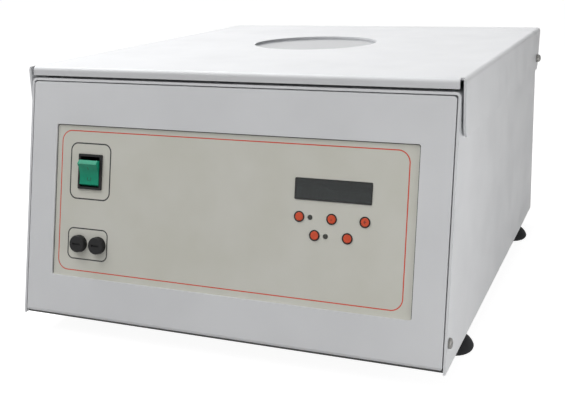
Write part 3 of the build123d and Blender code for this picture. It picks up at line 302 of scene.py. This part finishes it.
radius = add(tree, "ShaderNodeVectorMath", {"operation": "LENGTH"}, {0: flat}).outputs["Value"]
rings = add(tree, "ShaderNodeCombineXYZ", {}, {"X": radius, "Y": parts["Z"]}).outputs["Vector"]
height = {"Vector": rings, "Scale": 1 / (1.6 * mm)}
height = add(tree, "ShaderNodeTexNoise", {"noise_dimensions": "2D"}, height).outputs["Fac"]
bump = add(tree, "ShaderNodeBump", {}, {"Height": height, "Distance": 0.008 * mm}).outputs["Normal"]
tree.links.new(bump, shader.inputs["Normal"])
finish_nodes(anodised, "rotor_plate", "rotor_nut")

# Anodised tube: the same finish on drawn tube, with only a faint even grain.
sleeve_count = 8
anodised_tube, tree, shader, place = new_finish("anodised_drawn_tube", "#BFC2C6", 0.3, 1.0)
gloss = {"Vector": place, "Scale": 1 / (5 * mm), "Detail": 3.0}
gloss = add(tree, "ShaderNodeTexNoise", {}, gloss).outputs["Fac"]
gloss = {"Value": gloss, "From Min": 0.3, "From Max": 0.7, "To Min": 0.25, "To Max": 0.36}
gloss = add(tree, "ShaderNodeMapRange", {}, gloss).outputs["Result"]
tree.links.new(gloss, shader.inputs["Roughness"])
height = add(tree, "ShaderNodeTexNoise", {}, {"Vector": place, "Scale": 1 / (0.9 * mm)}).outputs["Fac"]
bump = add(tree, "ShaderNodeBump", {}, {"Height": height, "Distance": 0.006 * mm}).outputs["Normal"]
tree.links.new(bump, shader.inputs["Normal"])
finish_nodes(anodised_tube, *[f"tube_sleeve_{n}" for n in range(1, sleeve_count + 1)])

# Each place on the rotor carries its number, stamped in the plate and filled with black ink.
stamp_ink, tree, shader, place = new_finish("stamped_number_ink", "#1D1E20", 0.5)
tone = add(tree, "ShaderNodeTexNoise", {}, {"Vector": place, "Scale": 1 / (0.8 * mm)}).outputs["Fac"]
tone = {"Value": tone, "From Min": 0.3, "From Max": 0.7}
tone = add(tree, "ShaderNodeMapRange", {}, tone).outputs["Result"]
colour = {0: tone, 6: srgb("#17181A"), 7: srgb("#2A2B2E")}
colour = add(tree, "ShaderNodeMix", {"data_type": "RGBA"}, colour).outputs[2]
tree.links.new(colour, shader.inputs["Base Color"])
height = add(tree, "ShaderNodeTexNoise", {}, {"Vector": place, "Scale": 1 / (0.5 * mm)}).outputs["Fac"]
bump = add(tree, "ShaderNodeBump", {}, {"Height": height, "Distance": 0.02 * mm}).outputs["Normal"]
tree.links.new(bump, shader.inputs["Normal"])

number_height = 8.0 * mm
number_radius = 29.0 * mm
number_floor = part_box("rotor_nut")[0].z
ink_thickness = 0.06 * mm
size_per_capital = 1.4  # a font's size over the height of its capitals


def clear_selection():
    """Nothing is selected, and the last piece is left in object mode."""
    if bpy.context.object and bpy.context.object.mode != "OBJECT":
        bpy.ops.object.mode_set(mode="OBJECT")
    bpy.ops.object.select_all(action="DESELECT")


def lettered(name, text, height, placed, finish):
    """One printed character as a thin mesh, standing on a plane given by its matrix."""
    clear_selection()
    bpy.ops.object.text_add()
    mark = bpy.context.object
    mark.data.body = text
    mark.data.size = height * size_per_capital
    mark.data.extrude = ink_thickness / 2
    mark.data.align_x = "CENTER"
    mark.data.align_y = "CENTER"
    bpy.ops.object.convert(target="MESH")
    mark.name = name
    mark.data.transform(placed @ Matrix.Translation((0, 0, ink_thickness / 2)))
    mark.data.materials.append(finish)
    return mark


for n in range(sleeve_count):
    turn = Matrix.Rotation(n * math.tau / sleeve_count, 4, "Z")
    turn = Matrix.Translation((0, axis_y, number_floor)) @ turn
    placed = turn @ Matrix.Translation((number_radius, 0, 0)) @ Matrix.Rotation(math.pi / 2, 4, "Z")
    number = lettered(f"rotor_number_{n + 1}", str(n + 1), number_height, placed, stamp_ink)
    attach(number, "rotor")


# Power parts ---------------------------------------------------------------------------------
# The power board stands on posts on the base plate. The mains comes in through a moulded
# socket in the rear panel, and a sheathed lead takes it forward to the rocker.

# Moulded nylon and ABS: black with a spark-eroded texture of about 0.8 mm and a soft sheen.
black_moulding, tree, shader, place = new_finish("moulded_black_plastic", "#1B1B1C", 0.55)
shader.inputs["Specular IOR Level"].default_value = 0.25
tone = add(tree, "ShaderNodeTexNoise", {}, {"Vector": place, "Scale": 1 / (8 * mm)}).outputs["Fac"]
tone = {"Value": tone, "From Min": 0.3, "From Max": 0.7}
tone = add(tree, "ShaderNodeMapRange", {}, tone).outputs["Result"]
colour = {0: tone, 6: srgb("#191919"), 7: srgb("#202021")}
colour = add(tree, "ShaderNodeMix", {"data_type": "RGBA"}, colour).outputs[2]
tree.links.new(colour, shader.inputs["Base Color"])
height = {"Vector": place, "Scale": 1 / (0.8 * mm), "Detail": 1.0}
height = add(tree, "ShaderNodeTexNoise", {}, height).outputs["Fac"]
bump = add(tree, "ShaderNodeBump", {}, {"Height": height, "Distance": 0.02 * mm}).outputs["Normal"]
tree.links.new(bump, shader.inputs["Normal"])
finish_nodes(black_moulding, "power_inlet", "terminal_covers", "fuse_holders", "rocker_bezel", "key_collars")

# Glass-epoxy laminate under green solder mask: glossy, with the weave showing every 1 mm.
laminate, tree, shader, place = new_finish("solder_masked_laminate", "#1F5B3A", 0.28)
weave = add(tree, "ShaderNodeTexChecker", {}, {"Vector": place, "Scale": 1 / (1.0 * mm)}).outputs["Fac"]
colour = {0: weave, 6: srgb("#1C5535"), 7: srgb("#22613E")}
colour = add(tree, "ShaderNodeMix", {"data_type": "RGBA"}, colour).outputs[2]
tree.links.new(colour, shader.inputs["Base Color"])
bump = add(tree, "ShaderNodeBump", {}, {"Height": weave, "Distance": 0.01 * mm}).outputs["Normal"]
tree.links.new(bump, shader.inputs["Normal"])
finish_nodes(laminate, "power_board", "control_board")

# Soft PVC sheath: dark grey, smooth and slightly glossy.
sheath, tree, shader, place = new_finish("pvc_sheath", "#2C2D30", 0.4)
tone = add(tree, "ShaderNodeTexNoise", {}, {"Vector": place, "Scale": 1 / (5 * mm)}).outputs["Fac"]
tone = {"Value": tone, "From Min": 0.3, "From Max": 0.7}
tone = add(tree, "ShaderNodeMapRange", {}, tone).outputs["Result"]
colour = {0: tone, 6: srgb("#28292C"), 7: srgb("#333437")}
colour = add(tree, "ShaderNodeMix", {"data_type": "RGBA"}, colour).outputs[2]
tree.links.new(colour, shader.inputs["Base Color"])
height = add(tree, "ShaderNodeTexNoise", {}, {"Vector": place, "Scale": 1 / (1.2 * mm)}).outputs["Fac"]
bump = add(tree, "ShaderNodeBump", {}, {"Height": height, "Distance": 0.02 * mm}).outputs["Normal"]
tree.links.new(bump, shader.inputs["Normal"])
finish_nodes(sheath, "mains_lead")


# Rear panel ----------------------------------------------------------------------------------
# A flat steel plate with two rows of cooling slots closes the back. It has the case's coat.
finish_nodes(powder_coat, "rear_panel")


# Front panel and label ------------------------------------------------------------------------
# The front is a folded steel tray with the case's coat. A printed polyester film lies in its
# shallow recess and carries the lines round the controls.
finish_nodes(powder_coat, "front_panel")

case_front = -241.5 * mm
case_bottom = 20.0 * mm
case_height = 214.6
front_setback = 44.6
front_edge = Vector((0, case_front, case_bottom))
lean = math.atan2(front_setback, case_height)

# Each line is a rounded rectangle, in mm across from the face's middle and up from its foot.
border = {"middle": (-1.25, 108.8), "half": (163.75, 63.7), "corner": 10.0, "line": 0.95}
rocker_frame = {"middle": (-134.05, 136.25), "half": (20.95, 25.25), "corner": 7.0, "line": 1.25}
fuse_frame = {"middle": (-134.2, 69.85), "half": (20.8, 13.95), "corner": 5.5, "line": 1.15}
# The last outline is no print: it is painted shade along the film's cut edge, for the shadow in the recess.
painted_recess_shade = {"middle": (0, 98.9), "half": (170.6, 78.9), "corner": 2.0, "line": 1.3}
any_depth = 1000

# Screen-printed polyester film: warm grey, with the fine matt grain of its hard coat. The
# border is printed in orange-red and the frames round the rocker and the fuses in dark grey.
# A dark line round its cut edge is painted shade, standing for the shadow in the gap between the film and the
# recess wall.
label_film, tree, shader, place = new_finish("printed_polyester_film", "#DEDDD3", 0.5)
tone = add(tree, "ShaderNodeTexNoise", {}, {"Vector": place, "Scale": 1 / (40 * mm)}).outputs["Fac"]
tone = {"Value": tone, "From Min": 0.3, "From Max": 0.7}
tone = add(tree, "ShaderNodeMapRange", {}, tone).outputs["Result"]
film = {0: tone, 6: srgb("#DBDACF"), 7: srgb("#E1E0D7")}
film = add(tree, "ShaderNodeMix", {"data_type": "RGBA"}, film).outputs[2]
upright = (math.pi / 2 - lean, 0, 0)
on_sheet = {"Vector": place, "Location": front_edge, "Rotation": upright, "Scale": (mm, mm, mm)}
sheet = add(tree, "ShaderNodeMapping", {"vector_type": "TEXTURE"}, on_sheet).outputs["Vector"]
# Each outline gets its colour: ink for the printed lines, dark grey for the painted shade at the edge.
prints_and_edge_shade = ((border, "#DC4F33"), (rocker_frame, "#242422"), (fuse_frame, "#242422"), (painted_recess_shade, "#45453F"))
for outlined, line_colour in prints_and_edge_shade:
    apart = {0: sheet, 1: (*outlined["middle"], 0)}
    apart = add(tree, "ShaderNodeVectorMath", {"operation": "SUBTRACT"}, apart).outputs["Vector"]
    folded = add(tree, "ShaderNodeVectorMath", {"operation": "ABSOLUTE"}, {0: apart}).outputs["Vector"]
    corner = outlined["corner"]
    beyond = {0: folded, 1: (outlined["half"][0] - corner, outlined["half"][1] - corner, any_depth)}
    beyond = add(tree, "ShaderNodeVectorMath", {"operation": "SUBTRACT"}, beyond).outputs["Vector"]
    kept = {0: beyond, 1: (0, 0, 0)}
    kept = add(tree, "ShaderNodeVectorMath", {"operation": "MAXIMUM"}, kept).outputs["Vector"]
    away = add(tree, "ShaderNodeVectorMath", {"operation": "LENGTH"}, {0: kept}).outputs["Value"]
    mask = {0: away, 1: corner, 2: outlined["line"] / 2}
    mask = add(tree, "ShaderNodeMath", {"operation": "COMPARE"}, mask).outputs["Value"]
    film = {0: mask, 6: film, 7: srgb(line_colour)}
    film = add(tree, "ShaderNodeMix", {"data_type": "RGBA"}, film).outputs[2]
tree.links.new(film, shader.inputs["Base Color"])
height = {"Vector": place, "Scale": 1 / (0.9 * mm), "Detail": 1.0}
height = add(tree, "ShaderNodeTexNoise", {}, height).outputs["Fac"]
bump = add(tree, "ShaderNodeBump", {}, {"Height": height, "Distance": 0.006 * mm}).outputs["Normal"]
tree.links.new(bump, shader.inputs["Normal"])
finish_nodes(label_film, "control_label")


# Display -------------------------------------------------------------------------------------
# A two-line character display lies behind a smoked pane in the label. Unlit, it shows only a
# dull dark field, a little darker round its rim.

# Smoked acrylic: grey and clear, polished.
smoked, tree, shader, place = new_finish("smoked_acrylic", "#7C8486", 0.06)
shader.inputs["Transmission Weight"].default_value = 1.0
shader.inputs["IOR"].default_value = 1.49
height = add(tree, "ShaderNodeTexNoise", {}, {"Vector": place, "Scale": 1 / (12 * mm)}).outputs["Fac"]
bump = add(tree, "ShaderNodeBump", {}, {"Height": height, "Distance": 0.01 * mm}).outputs["Normal"]
tree.links.new(bump, shader.inputs["Normal"])
finish_nodes(smoked, "display_window")

# The display's glass: grey-green, with a grid of character cells that shows only faintly, and
# the black rim of its metal frame round them.
display_middle = (99.8, 136.1)
glass_half = (32.0, 7.6)
cell_pitch = (3.55, 5.95)
cell_half = (0.42, 0.45)  # shares of the pitch
cell_middle = (0.5, 0.5, 0)
display_glass, tree, shader, place = new_finish("unlit_display", "#5E6663", 0.25)
on_sheet["Vector"] = place
sheet = add(tree, "ShaderNodeMapping", {"vector_type": "TEXTURE"}, on_sheet).outputs["Vector"]
centred = {0: sheet, 1: (*display_middle, 0)}
centred = add(tree, "ShaderNodeVectorMath", {"operation": "SUBTRACT"}, centred).outputs["Vector"]
per_cell = (1 / cell_pitch[0], 1 / cell_pitch[1], 0)
counted = {0: centred, 1: per_cell}
counted = add(tree, "ShaderNodeVectorMath", {"operation": "MULTIPLY"}, counted).outputs["Vector"]
within = add(tree, "ShaderNodeVectorMath", {"operation": "FRACTION"}, {0: counted}).outputs["Vector"]
from_middle = {0: within, 1: cell_middle}
from_middle = add(tree, "ShaderNodeVectorMath", {"operation": "SUBTRACT"}, from_middle).outputs["Vector"]
folded = add(tree, "ShaderNodeVectorMath", {"operation": "ABSOLUTE"}, {0: from_middle}).outputs["Vector"]
sides = add(tree, "ShaderNodeSeparateXYZ", {}, {"Vector": folded}).outputs
in_width = {0: sides["X"], 1: cell_half[0]}
in_width = add(tree, "ShaderNodeMath", {"operation": "LESS_THAN"}, in_width).outputs["Value"]
in_height = {0: sides["Y"], 1: cell_half[1]}
in_height = add(tree, "ShaderNodeMath", {"operation": "LESS_THAN"}, in_height).outputs["Value"]
cell = add(tree, "ShaderNodeMath", {"operation": "MULTIPLY"}, {0: in_width, 1: in_height}).outputs["Value"]
glass = {0: cell, 6: srgb("#666E6B"), 7: srgb("#5F6764")}
glass = add(tree, "ShaderNodeMix", {"data_type": "RGBA"}, glass).outputs[2]
spot = add(tree, "ShaderNodeVectorMath", {"operation": "ABSOLUTE"}, {0: centred}).outputs["Vector"]
spot = add(tree, "ShaderNodeSeparateXYZ", {}, {"Vector": spot}).outputs
past_side = {0: spot["X"], 1: glass_half[0]}
past_side = add(tree, "ShaderNodeMath", {"operation": "GREATER_THAN"}, past_side).outputs["Value"]
past_top = {0: spot["Y"], 1: glass_half[1]}
past_top = add(tree, "ShaderNodeMath", {"operation": "GREATER_THAN"}, past_top).outputs["Value"]
rim = add(tree, "ShaderNodeMath", {"operation": "MAXIMUM"}, {0: past_side, 1: past_top}).outputs["Value"]
outlined = add(tree, "ShaderNodeMix", {"data_type": "RGBA"}, {0: rim, 6: glass, 7: srgb("#1B1D1E")}).outputs[2]
tree.links.new(outlined, shader.inputs["Base Color"])
finish_nodes(display_glass, "display_unit")


# Keys and lamps ------------------------------------------------------------------------------
# Five round keys of orange-red silicone rubber stand just proud of the label, each in a dark
# moulded collar. Two small indicator lamps sit beside the first key of each row.

# Silicone rubber key: saturated orange-red with a soft satin skin.
key_rubber, tree, shader, place = new_finish("silicone_key_orange_red", "#DB522F", 0.5)
tone = add(tree, "ShaderNodeTexNoise", {}, {"Vector": place, "Scale": 1 / (3 * mm)}).outputs["Fac"]
tone = {"Value": tone, "From Min": 0.3, "From Max": 0.7}
tone = add(tree, "ShaderNodeMapRange", {}, tone).outputs["Result"]
colour = {0: tone, 6: srgb("#D64E2B"), 7: srgb("#E15834")}
colour = add(tree, "ShaderNodeMix", {"data_type": "RGBA"}, colour).outputs[2]
tree.links.new(colour, shader.inputs["Base Color"])
height = add(tree, "ShaderNodeTexNoise", {}, {"Vector": place, "Scale": 1 / (0.6 * mm)}).outputs["Fac"]
bump = add(tree, "ShaderNodeBump", {}, {"Height": height, "Distance": 0.01 * mm}).outputs["Normal"]
tree.links.new(bump, shader.inputs["Normal"])
key_count = 5
finish_nodes(key_rubber, *[f"key_{n}" for n in range(1, key_count + 1)])

# Smoked epoxy lamp: almost black while it is off, and polished.
lamp_epoxy, tree, shader, place = new_finish("smoked_epoxy_lamp", "#2E2F2A", 0.2)
tone = add(tree, "ShaderNodeTexNoise", {}, {"Vector": place, "Scale": 1 / (1.5 * mm)}).outputs["Fac"]
tone = {"Value": tone, "From Min": 0.3, "From Max": 0.7}
tone = add(tree, "ShaderNodeMapRange", {}, tone).outputs["Result"]
colour = {0: tone, 6: srgb("#2A2B26"), 7: srgb("#363730")}
colour = add(tree, "ShaderNodeMix", {"data_type": "RGBA"}, colour).outputs[2]
tree.links.new(colour, shader.inputs["Base Color"])
height = add(tree, "ShaderNodeTexNoise", {}, {"Vector": place, "Scale": 1 / (1.0 * mm)}).outputs["Fac"]
bump = add(tree, "ShaderNodeBump", {}, {"Height": height, "Distance": 0.01 * mm}).outputs["Normal"]
tree.links.new(bump, shader.inputs["Normal"])
finish_nodes(lamp_epoxy, "indicator_leds")

# A dark minus and plus are printed on the second and third key, for less and more.
key_ink, tree, shader, place = new_finish("printed_key_ink", "#5C1E18", 0.5)
tone = add(tree, "ShaderNodeTexNoise", {}, {"Vector": place, "Scale": 1 / (0.7 * mm)}).outputs["Fac"]
tone = {"Value": tone, "From Min": 0.3, "From Max": 0.7}
tone = add(tree, "ShaderNodeMapRange", {}, tone).outputs["Result"]
colour = {0: tone, 6: srgb("#541A15"), 7: srgb("#66231C")}
colour = add(tree, "ShaderNodeMix", {"data_type": "RGBA"}, colour).outputs[2]
tree.links.new(colour, shader.inputs["Base Color"])
height = add(tree, "ShaderNodeTexNoise", {}, {"Vector": place, "Scale": 1 / (0.4 * mm)}).outputs["Fac"]
bump = add(tree, "ShaderNodeBump", {}, {"Height": height, "Distance": 0.01 * mm}).outputs["Normal"]
tree.links.new(bump, shader.inputs["Normal"])

face_turn = Matrix.Rotation(math.pi / 2 - lean, 4, "X")
face = Matrix.Translation(front_edge) @ face_turn
key_top = max((face.inverted() @ vertex.co).z for vertex in frame["nodes"]["key_2"].data.vertices)
key_row = 113.0
sign_height = 4.0 * mm
for name, sign, across in (("key_2", "-", 99.8), ("key_3", "+", 128.2)):
    placed = face @ Matrix.Translation((across * mm, key_row * mm, key_top))
    mark = lettered(f"{name}_mark", sign, sign_height, placed, key_ink)
    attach(mark, name)


# Mains rocker --------------------------------------------------------------------------------
# The rocker is green polycarbonate on a steel pin in a black nylon frame. A bar and a ring are
# printed on its two ends, for on and off.

# Tinted polycarbonate: a deep green with a smooth skin and a soft sheen.
rocker_green, tree, shader, place = new_finish("polished_green_polycarbonate", "#1C9C7A", 0.36)
shader.inputs["Specular IOR Level"].default_value = 0.2
tone = add(tree, "ShaderNodeTexNoise", {}, {"Vector": place, "Scale": 1 / (9 * mm)}).outputs["Fac"]
tone = {"Value": tone, "From Min": 0.3, "From Max": 0.7}
tone = add(tree, "ShaderNodeMapRange", {}, tone).outputs["Result"]
colour = {0: tone, 6: srgb("#199474"), 7: srgb("#1FA581")}
colour = add(tree, "ShaderNodeMix", {"data_type": "RGBA"}, colour).outputs[2]
tree.links.new(colour, shader.inputs["Base Color"])
height = add(tree, "ShaderNodeTexNoise", {}, {"Vector": place, "Scale": 1 / (2 * mm)}).outputs["Fac"]
bump = add(tree, "ShaderNodeBump", {}, {"Height": height, "Distance": 0.01 * mm}).outputs["Normal"]
tree.links.new(bump, shader.inputs["Normal"])
finish_nodes(rocker_green, "rocker_paddle")

# The bar and the ring, printed in the hollow of the rocker on its own slope.
rocker_joint = next(row for row in frame["record"]["behaviour"]["joints"] if row["name"] == "rocker_rock")
rocker_tilt = math.radians(14.0)
hollow_radius = 21.6 * mm
hollow_low = 6.4 * mm
mark_from_middle = 5.0 * mm
mark_height = 4.2 * mm
pin = Matrix.Translation(rocker_joint["pos_m"]) @ face_turn @ Matrix.Rotation(rocker_tilt, 4, "X")
mark_slope = math.asin(mark_from_middle / hollow_radius)
mark_rise = hollow_low + hollow_radius * (1 - math.cos(mark_slope))
rocker_ink, tree, shader, place = new_finish("printed_rocker_ink", "#123F33", 0.5)
tone = add(tree, "ShaderNodeTexNoise", {}, {"Vector": place, "Scale": 1 / (0.8 * mm)}).outputs["Fac"]
tone = {"Value": tone, "From Min": 0.3, "From Max": 0.7}
tone = add(tree, "ShaderNodeMapRange", {}, tone).outputs["Result"]
colour = {0: tone, 6: srgb("#0F382D"), 7: srgb("#174A3C")}
colour = add(tree, "ShaderNodeMix", {"data_type": "RGBA"}, colour).outputs[2]
tree.links.new(colour, shader.inputs["Base Color"])
height = add(tree, "ShaderNodeTexNoise", {}, {"Vector": place, "Scale": 1 / (0.4 * mm)}).outputs["Fac"]
bump = add(tree, "ShaderNodeBump", {}, {"Height": height, "Distance": 0.01 * mm}).outputs["Normal"]
tree.links.new(bump, shader.inputs["Normal"])
for name, sign, side in (("rocker_bar", "I", 1), ("rocker_ring", "O", -1)):
    placed = pin @ Matrix.Translation((0, side * mark_from_middle, mark_rise))
    placed = placed @ Matrix.Rotation(side * mark_slope, 4, "X")
    mark = lettered(name, sign, mark_height, placed, rocker_ink)
    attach(mark, "rocker")


# Fuse caps -----------------------------------------------------------------------------------
# Each fuse sits behind a round cap of black moulded phenolic, with a slot across its face for
# a coin. A quarter turn frees the cap and the fuse in it.
finish_nodes(black_moulding, "fuse_cap_left", "fuse_cap_right")

# Glass fuse: its clear tube, seen only with its cap out.
fuse_glass, tree, shader, place = new_finish("fuse_glass", "#DCE3E3", 0.08)
shader.inputs["Transmission Weight"].default_value = 0.85
height = add(tree, "ShaderNodeTexNoise", {}, {"Vector": place, "Scale": 1 / (4 * mm)}).outputs["Fac"]
bump = add(tree, "ShaderNodeBump", {}, {"Height": height, "Distance": 0.005 * mm}).outputs["Normal"]
tree.links.new(bump, shader.inputs["Normal"])
finish_nodes(fuse_glass, "fuses")


# Lid -----------------------------------------------------------------------------------------
# The lid is one folded steel sheet with the case's coat, a flange down each side and a short
# lip at the front. It turns on a shoulder screw at each side, with a nylon washer behind it.
finish_nodes(powder_coat, "lid_shell")

# Brushed stainless steel for the pane's ring, the striker, the lock's bolt and the motor's bolts.
brushed, tree, shader, place = new_finish("brushed_stainless_steel", "#BFC0C2", 0.32, 1.0)
brushed_along = (1, 30, 30)
drawn = add(tree, "ShaderNodeMapping", {}, {"Vector": place, "Scale": brushed_along}).outputs["Vector"]
strokes = add(tree, "ShaderNodeTexNoise", {}, {"Vector": drawn, "Scale": 1 / (20 * mm)}).outputs["Fac"]
gloss = {"Value": strokes, "From Min": 0.3, "From Max": 0.7, "To Min": 0.26, "To Max": 0.42}
gloss = add(tree, "ShaderNodeMapRange", {}, gloss).outputs["Result"]
tree.links.new(gloss, shader.inputs["Roughness"])
bump = add(tree, "ShaderNodeBump", {}, {"Height": strokes, "Distance": 0.01 * mm}).outputs["Normal"]
tree.links.new(bump, shader.inputs["Normal"])
finish_nodes(brushed, "window_ring", "lid_striker", "lock_bolt", "motor_bolts")

# Nickel-plated screw: a darker, warmer metal than the sheet's white, with dull blotches.
nickel, tree, shader, place = new_finish("nickel_plated_screw", "#7E7D7B", 0.36, 1.0)
tone = {"Vector": place, "Scale": 1 / (2.5 * mm), "Detail": 3.0}
tone = add(tree, "ShaderNodeTexNoise", {}, tone).outputs["Fac"]
tone = {"Value": tone, "From Min": 0.3, "From Max": 0.7}
tone = add(tree, "ShaderNodeMapRange", {}, tone).outputs["Result"]
colour = {0: tone, 6: srgb("#706F6D"), 7: srgb("#8C8B88")}
colour = add(tree, "ShaderNodeMix", {"data_type": "RGBA"}, colour).outputs[2]
tree.links.new(colour, shader.inputs["Base Color"])
height = add(tree, "ShaderNodeTexNoise", {}, {"Vector": place, "Scale": 1 / (0.8 * mm)}).outputs["Fac"]
bump = add(tree, "ShaderNodeBump", {}, {"Height": height, "Distance": 0.01 * mm}).outputs["Normal"]
tree.links.new(bump, shader.inputs["Normal"])
finish_nodes(nickel, "pan_screws", "hinge_screws")

# Nylon washer: off-white and waxy.
nylon, tree, shader, place = new_finish("natural_nylon", "#E9E7DE", 0.45)
shader.inputs["Subsurface Weight"].default_value = 0.2
tone = add(tree, "ShaderNodeTexNoise", {}, {"Vector": place, "Scale": 1 / (4 * mm)}).outputs["Fac"]
tone = {"Value": tone, "From Min": 0.3, "From Max": 0.7}
tone = add(tree, "ShaderNodeMapRange", {}, tone).outputs["Result"]
colour = {0: tone, 6: srgb("#E4E2D8"), 7: srgb("#EEECE4")}
colour = add(tree, "ShaderNodeMix", {"data_type": "RGBA"}, colour).outputs[2]
tree.links.new(colour, shader.inputs["Base Color"])
height = add(tree, "ShaderNodeTexNoise", {}, {"Vector": place, "Scale": 1 / (1.0 * mm)}).outputs["Fac"]
bump = add(tree, "ShaderNodeBump", {}, {"Height": height, "Distance": 0.01 * mm}).outputs["Normal"]
tree.links.new(bump, shader.inputs["Normal"])
finish_nodes(nylon, "hinge_washers")

# Lid window: a round polycarbonate pane clamped under the hole, clear with a faint haze.
clear_pane, tree, shader, place = new_finish("clear_polycarbonate", "#C6C9CF", 0.12)
shader.inputs["Transmission Weight"].default_value = 0.75
shader.inputs["IOR"].default_value = 1.585
height = add(tree, "ShaderNodeTexNoise", {}, {"Vector": place, "Scale": 1 / (30 * mm)}).outputs["Fac"]
bump = add(tree, "ShaderNodeBump", {}, {"Height": height, "Distance": 0.02 * mm}).outputs["Normal"]
tree.links.new(bump, shader.inputs["Normal"])
finish_nodes(clear_pane, "lid_window")


# Floor, light and camera ---------------------------------------------------------------------
# The machine stands on a plain pale floor under a large soft box on its left. A second box
# stands high in front, and two small low lamps reach its right side from the front corner.
# The room is brighter on the left and in front, and it and the floor look white to the camera.

floor_side = 12.0
floor_glow = 0.92
bright_side = (-0.7, -0.5, 0.3)
dim_level = 0.05
bright_level = 0.33

clear_selection()
bpy.ops.mesh.primitive_plane_add(size=floor_side, location=(0, 0, 0))
floor = bpy.context.object
floor.name = "studio_floor"
floor_paint = bpy.data.materials.new("white_floor")
floor_paint.use_nodes = True
tree = floor_paint.node_tree
tree.nodes.clear()
path = add(tree, "ShaderNodeLightPath").outputs
paint = add(tree, "ShaderNodeBsdfDiffuse", {}, {"Color": srgb("#A8A8A8")}).outputs["BSDF"]
seen = {0: path["Is Camera Ray"], 1: path["Is Glossy Ray"]}
seen = add(tree, "ShaderNodeMath", {"operation": "MAXIMUM"}, seen).outputs["Value"]
seen = {0: seen, 1: path["Is Transmission Ray"]}
seen = add(tree, "ShaderNodeMath", {"operation": "MAXIMUM"}, seen).outputs["Value"]
lift = add(tree, "ShaderNodeMath", {"operation": "MULTIPLY"}, {0: seen, 1: floor_glow})
glow = {"Color": srgb("#FFFFFF"), "Strength": lift.outputs["Value"]}
glow = add(tree, "ShaderNodeEmission", {}, glow).outputs["Emission"]
both = add(tree, "ShaderNodeAddShader", {}, {0: paint, 1: glow}).outputs["Shader"]
add(tree, "ShaderNodeOutputMaterial", {}, {"Surface": both})
floor.data.materials.append(floor_paint)

room = bpy.data.worlds.new("white_room")
bpy.context.scene.world = room
room.use_nodes = True
tree = room.node_tree
tree.nodes.clear()
path = add(tree, "ShaderNodeLightPath").outputs
around = add(tree, "ShaderNodeTexCoord").outputs["Generated"]
facing = {0: around, 1: bright_side}
facing = add(tree, "ShaderNodeVectorMath", {"operation": "DOT_PRODUCT"}, facing).outputs["Value"]
level = {"Value": facing, "From Min": -1.0, "From Max": 1.0}
level = {**level, "To Min": dim_level, "To Max": bright_level}
level = add(tree, "ShaderNodeMapRange", {}, level).outputs["Result"]
fill = {"Color": srgb("#FFFFFF"), "Strength": level}
fill = add(tree, "ShaderNodeBackground", {}, fill).outputs["Background"]
white = {"Color": srgb("#FFFFFF"), "Strength": 1.0}
white = add(tree, "ShaderNodeBackground", {}, white).outputs["Background"]
seen = {0: path["Is Camera Ray"], 1: path["Is Glossy Ray"]}
seen = add(tree, "ShaderNodeMath", {"operation": "MAXIMUM"}, seen).outputs["Value"]
seen = {0: seen, 1: path["Is Transmission Ray"]}
seen = add(tree, "ShaderNodeMath", {"operation": "MAXIMUM"}, seen).outputs["Value"]
both = add(tree, "ShaderNodeMixShader", {}, {0: seen, 1: fill, 2: white}).outputs["Shader"]
add(tree, "ShaderNodeOutputWorld", {}, {"Surface": both})


def soft_box(name, place, aim, width, height, power):
    """A flat lamp that faces a point, in metres and watts."""
    lamp = bpy.data.lights.new(name, "AREA")
    lamp.shape = "RECTANGLE"
    lamp.size = width
    lamp.size_y = height
    lamp.energy = power
    holder = bpy.data.objects.new(name, lamp)
    bpy.context.scene.collection.objects.link(holder)
    holder.location = place
    holder.rotation_euler = (Vector(aim) - Vector(place)).to_track_quat("-Z", "Y").to_euler()


soft_box("overhead_box", place=(-0.7, -0.1, 1.45), aim=(-0.05, -0.02, 0.2),
         width=1.4, height=1.2, power=19.0)
soft_box("front_box", place=(-0.3, -0.9, 1.35), aim=(0, -0.1, 0.15),
         width=1.4, height=0.8, power=4.0)
soft_box("corner_lamp", place=(0.62, -0.40, 0.07), aim=(0.2, -0.25, 0.07),
         width=0.3, height=0.3, power=1.05)
soft_box("side_lamp", place=(0.85, -0.3, 0.32), aim=(0.2, -0.2, 0.12),
         width=0.35, height=0.35, power=0.35)

# The camera stands where the edges of the case in the photograph put it, with the same crop.
eye = bpy.data.cameras.new("camera")
eye.lens = 56.19
eye.sensor_width = 36.0
eye.shift_x = -0.0457
eye.shift_y = -0.0705
camera = bpy.data.objects.new("camera", eye)
bpy.context.scene.collection.objects.link(camera)
camera.location = (0.33769, -0.85931, 0.34356)
camera.rotation_euler = [math.radians(turn) for turn in (76.577, 1.441, 21.459)]
bpy.context.scene.camera = camera
bpy.context.scene.view_settings.view_transform = "Standard"
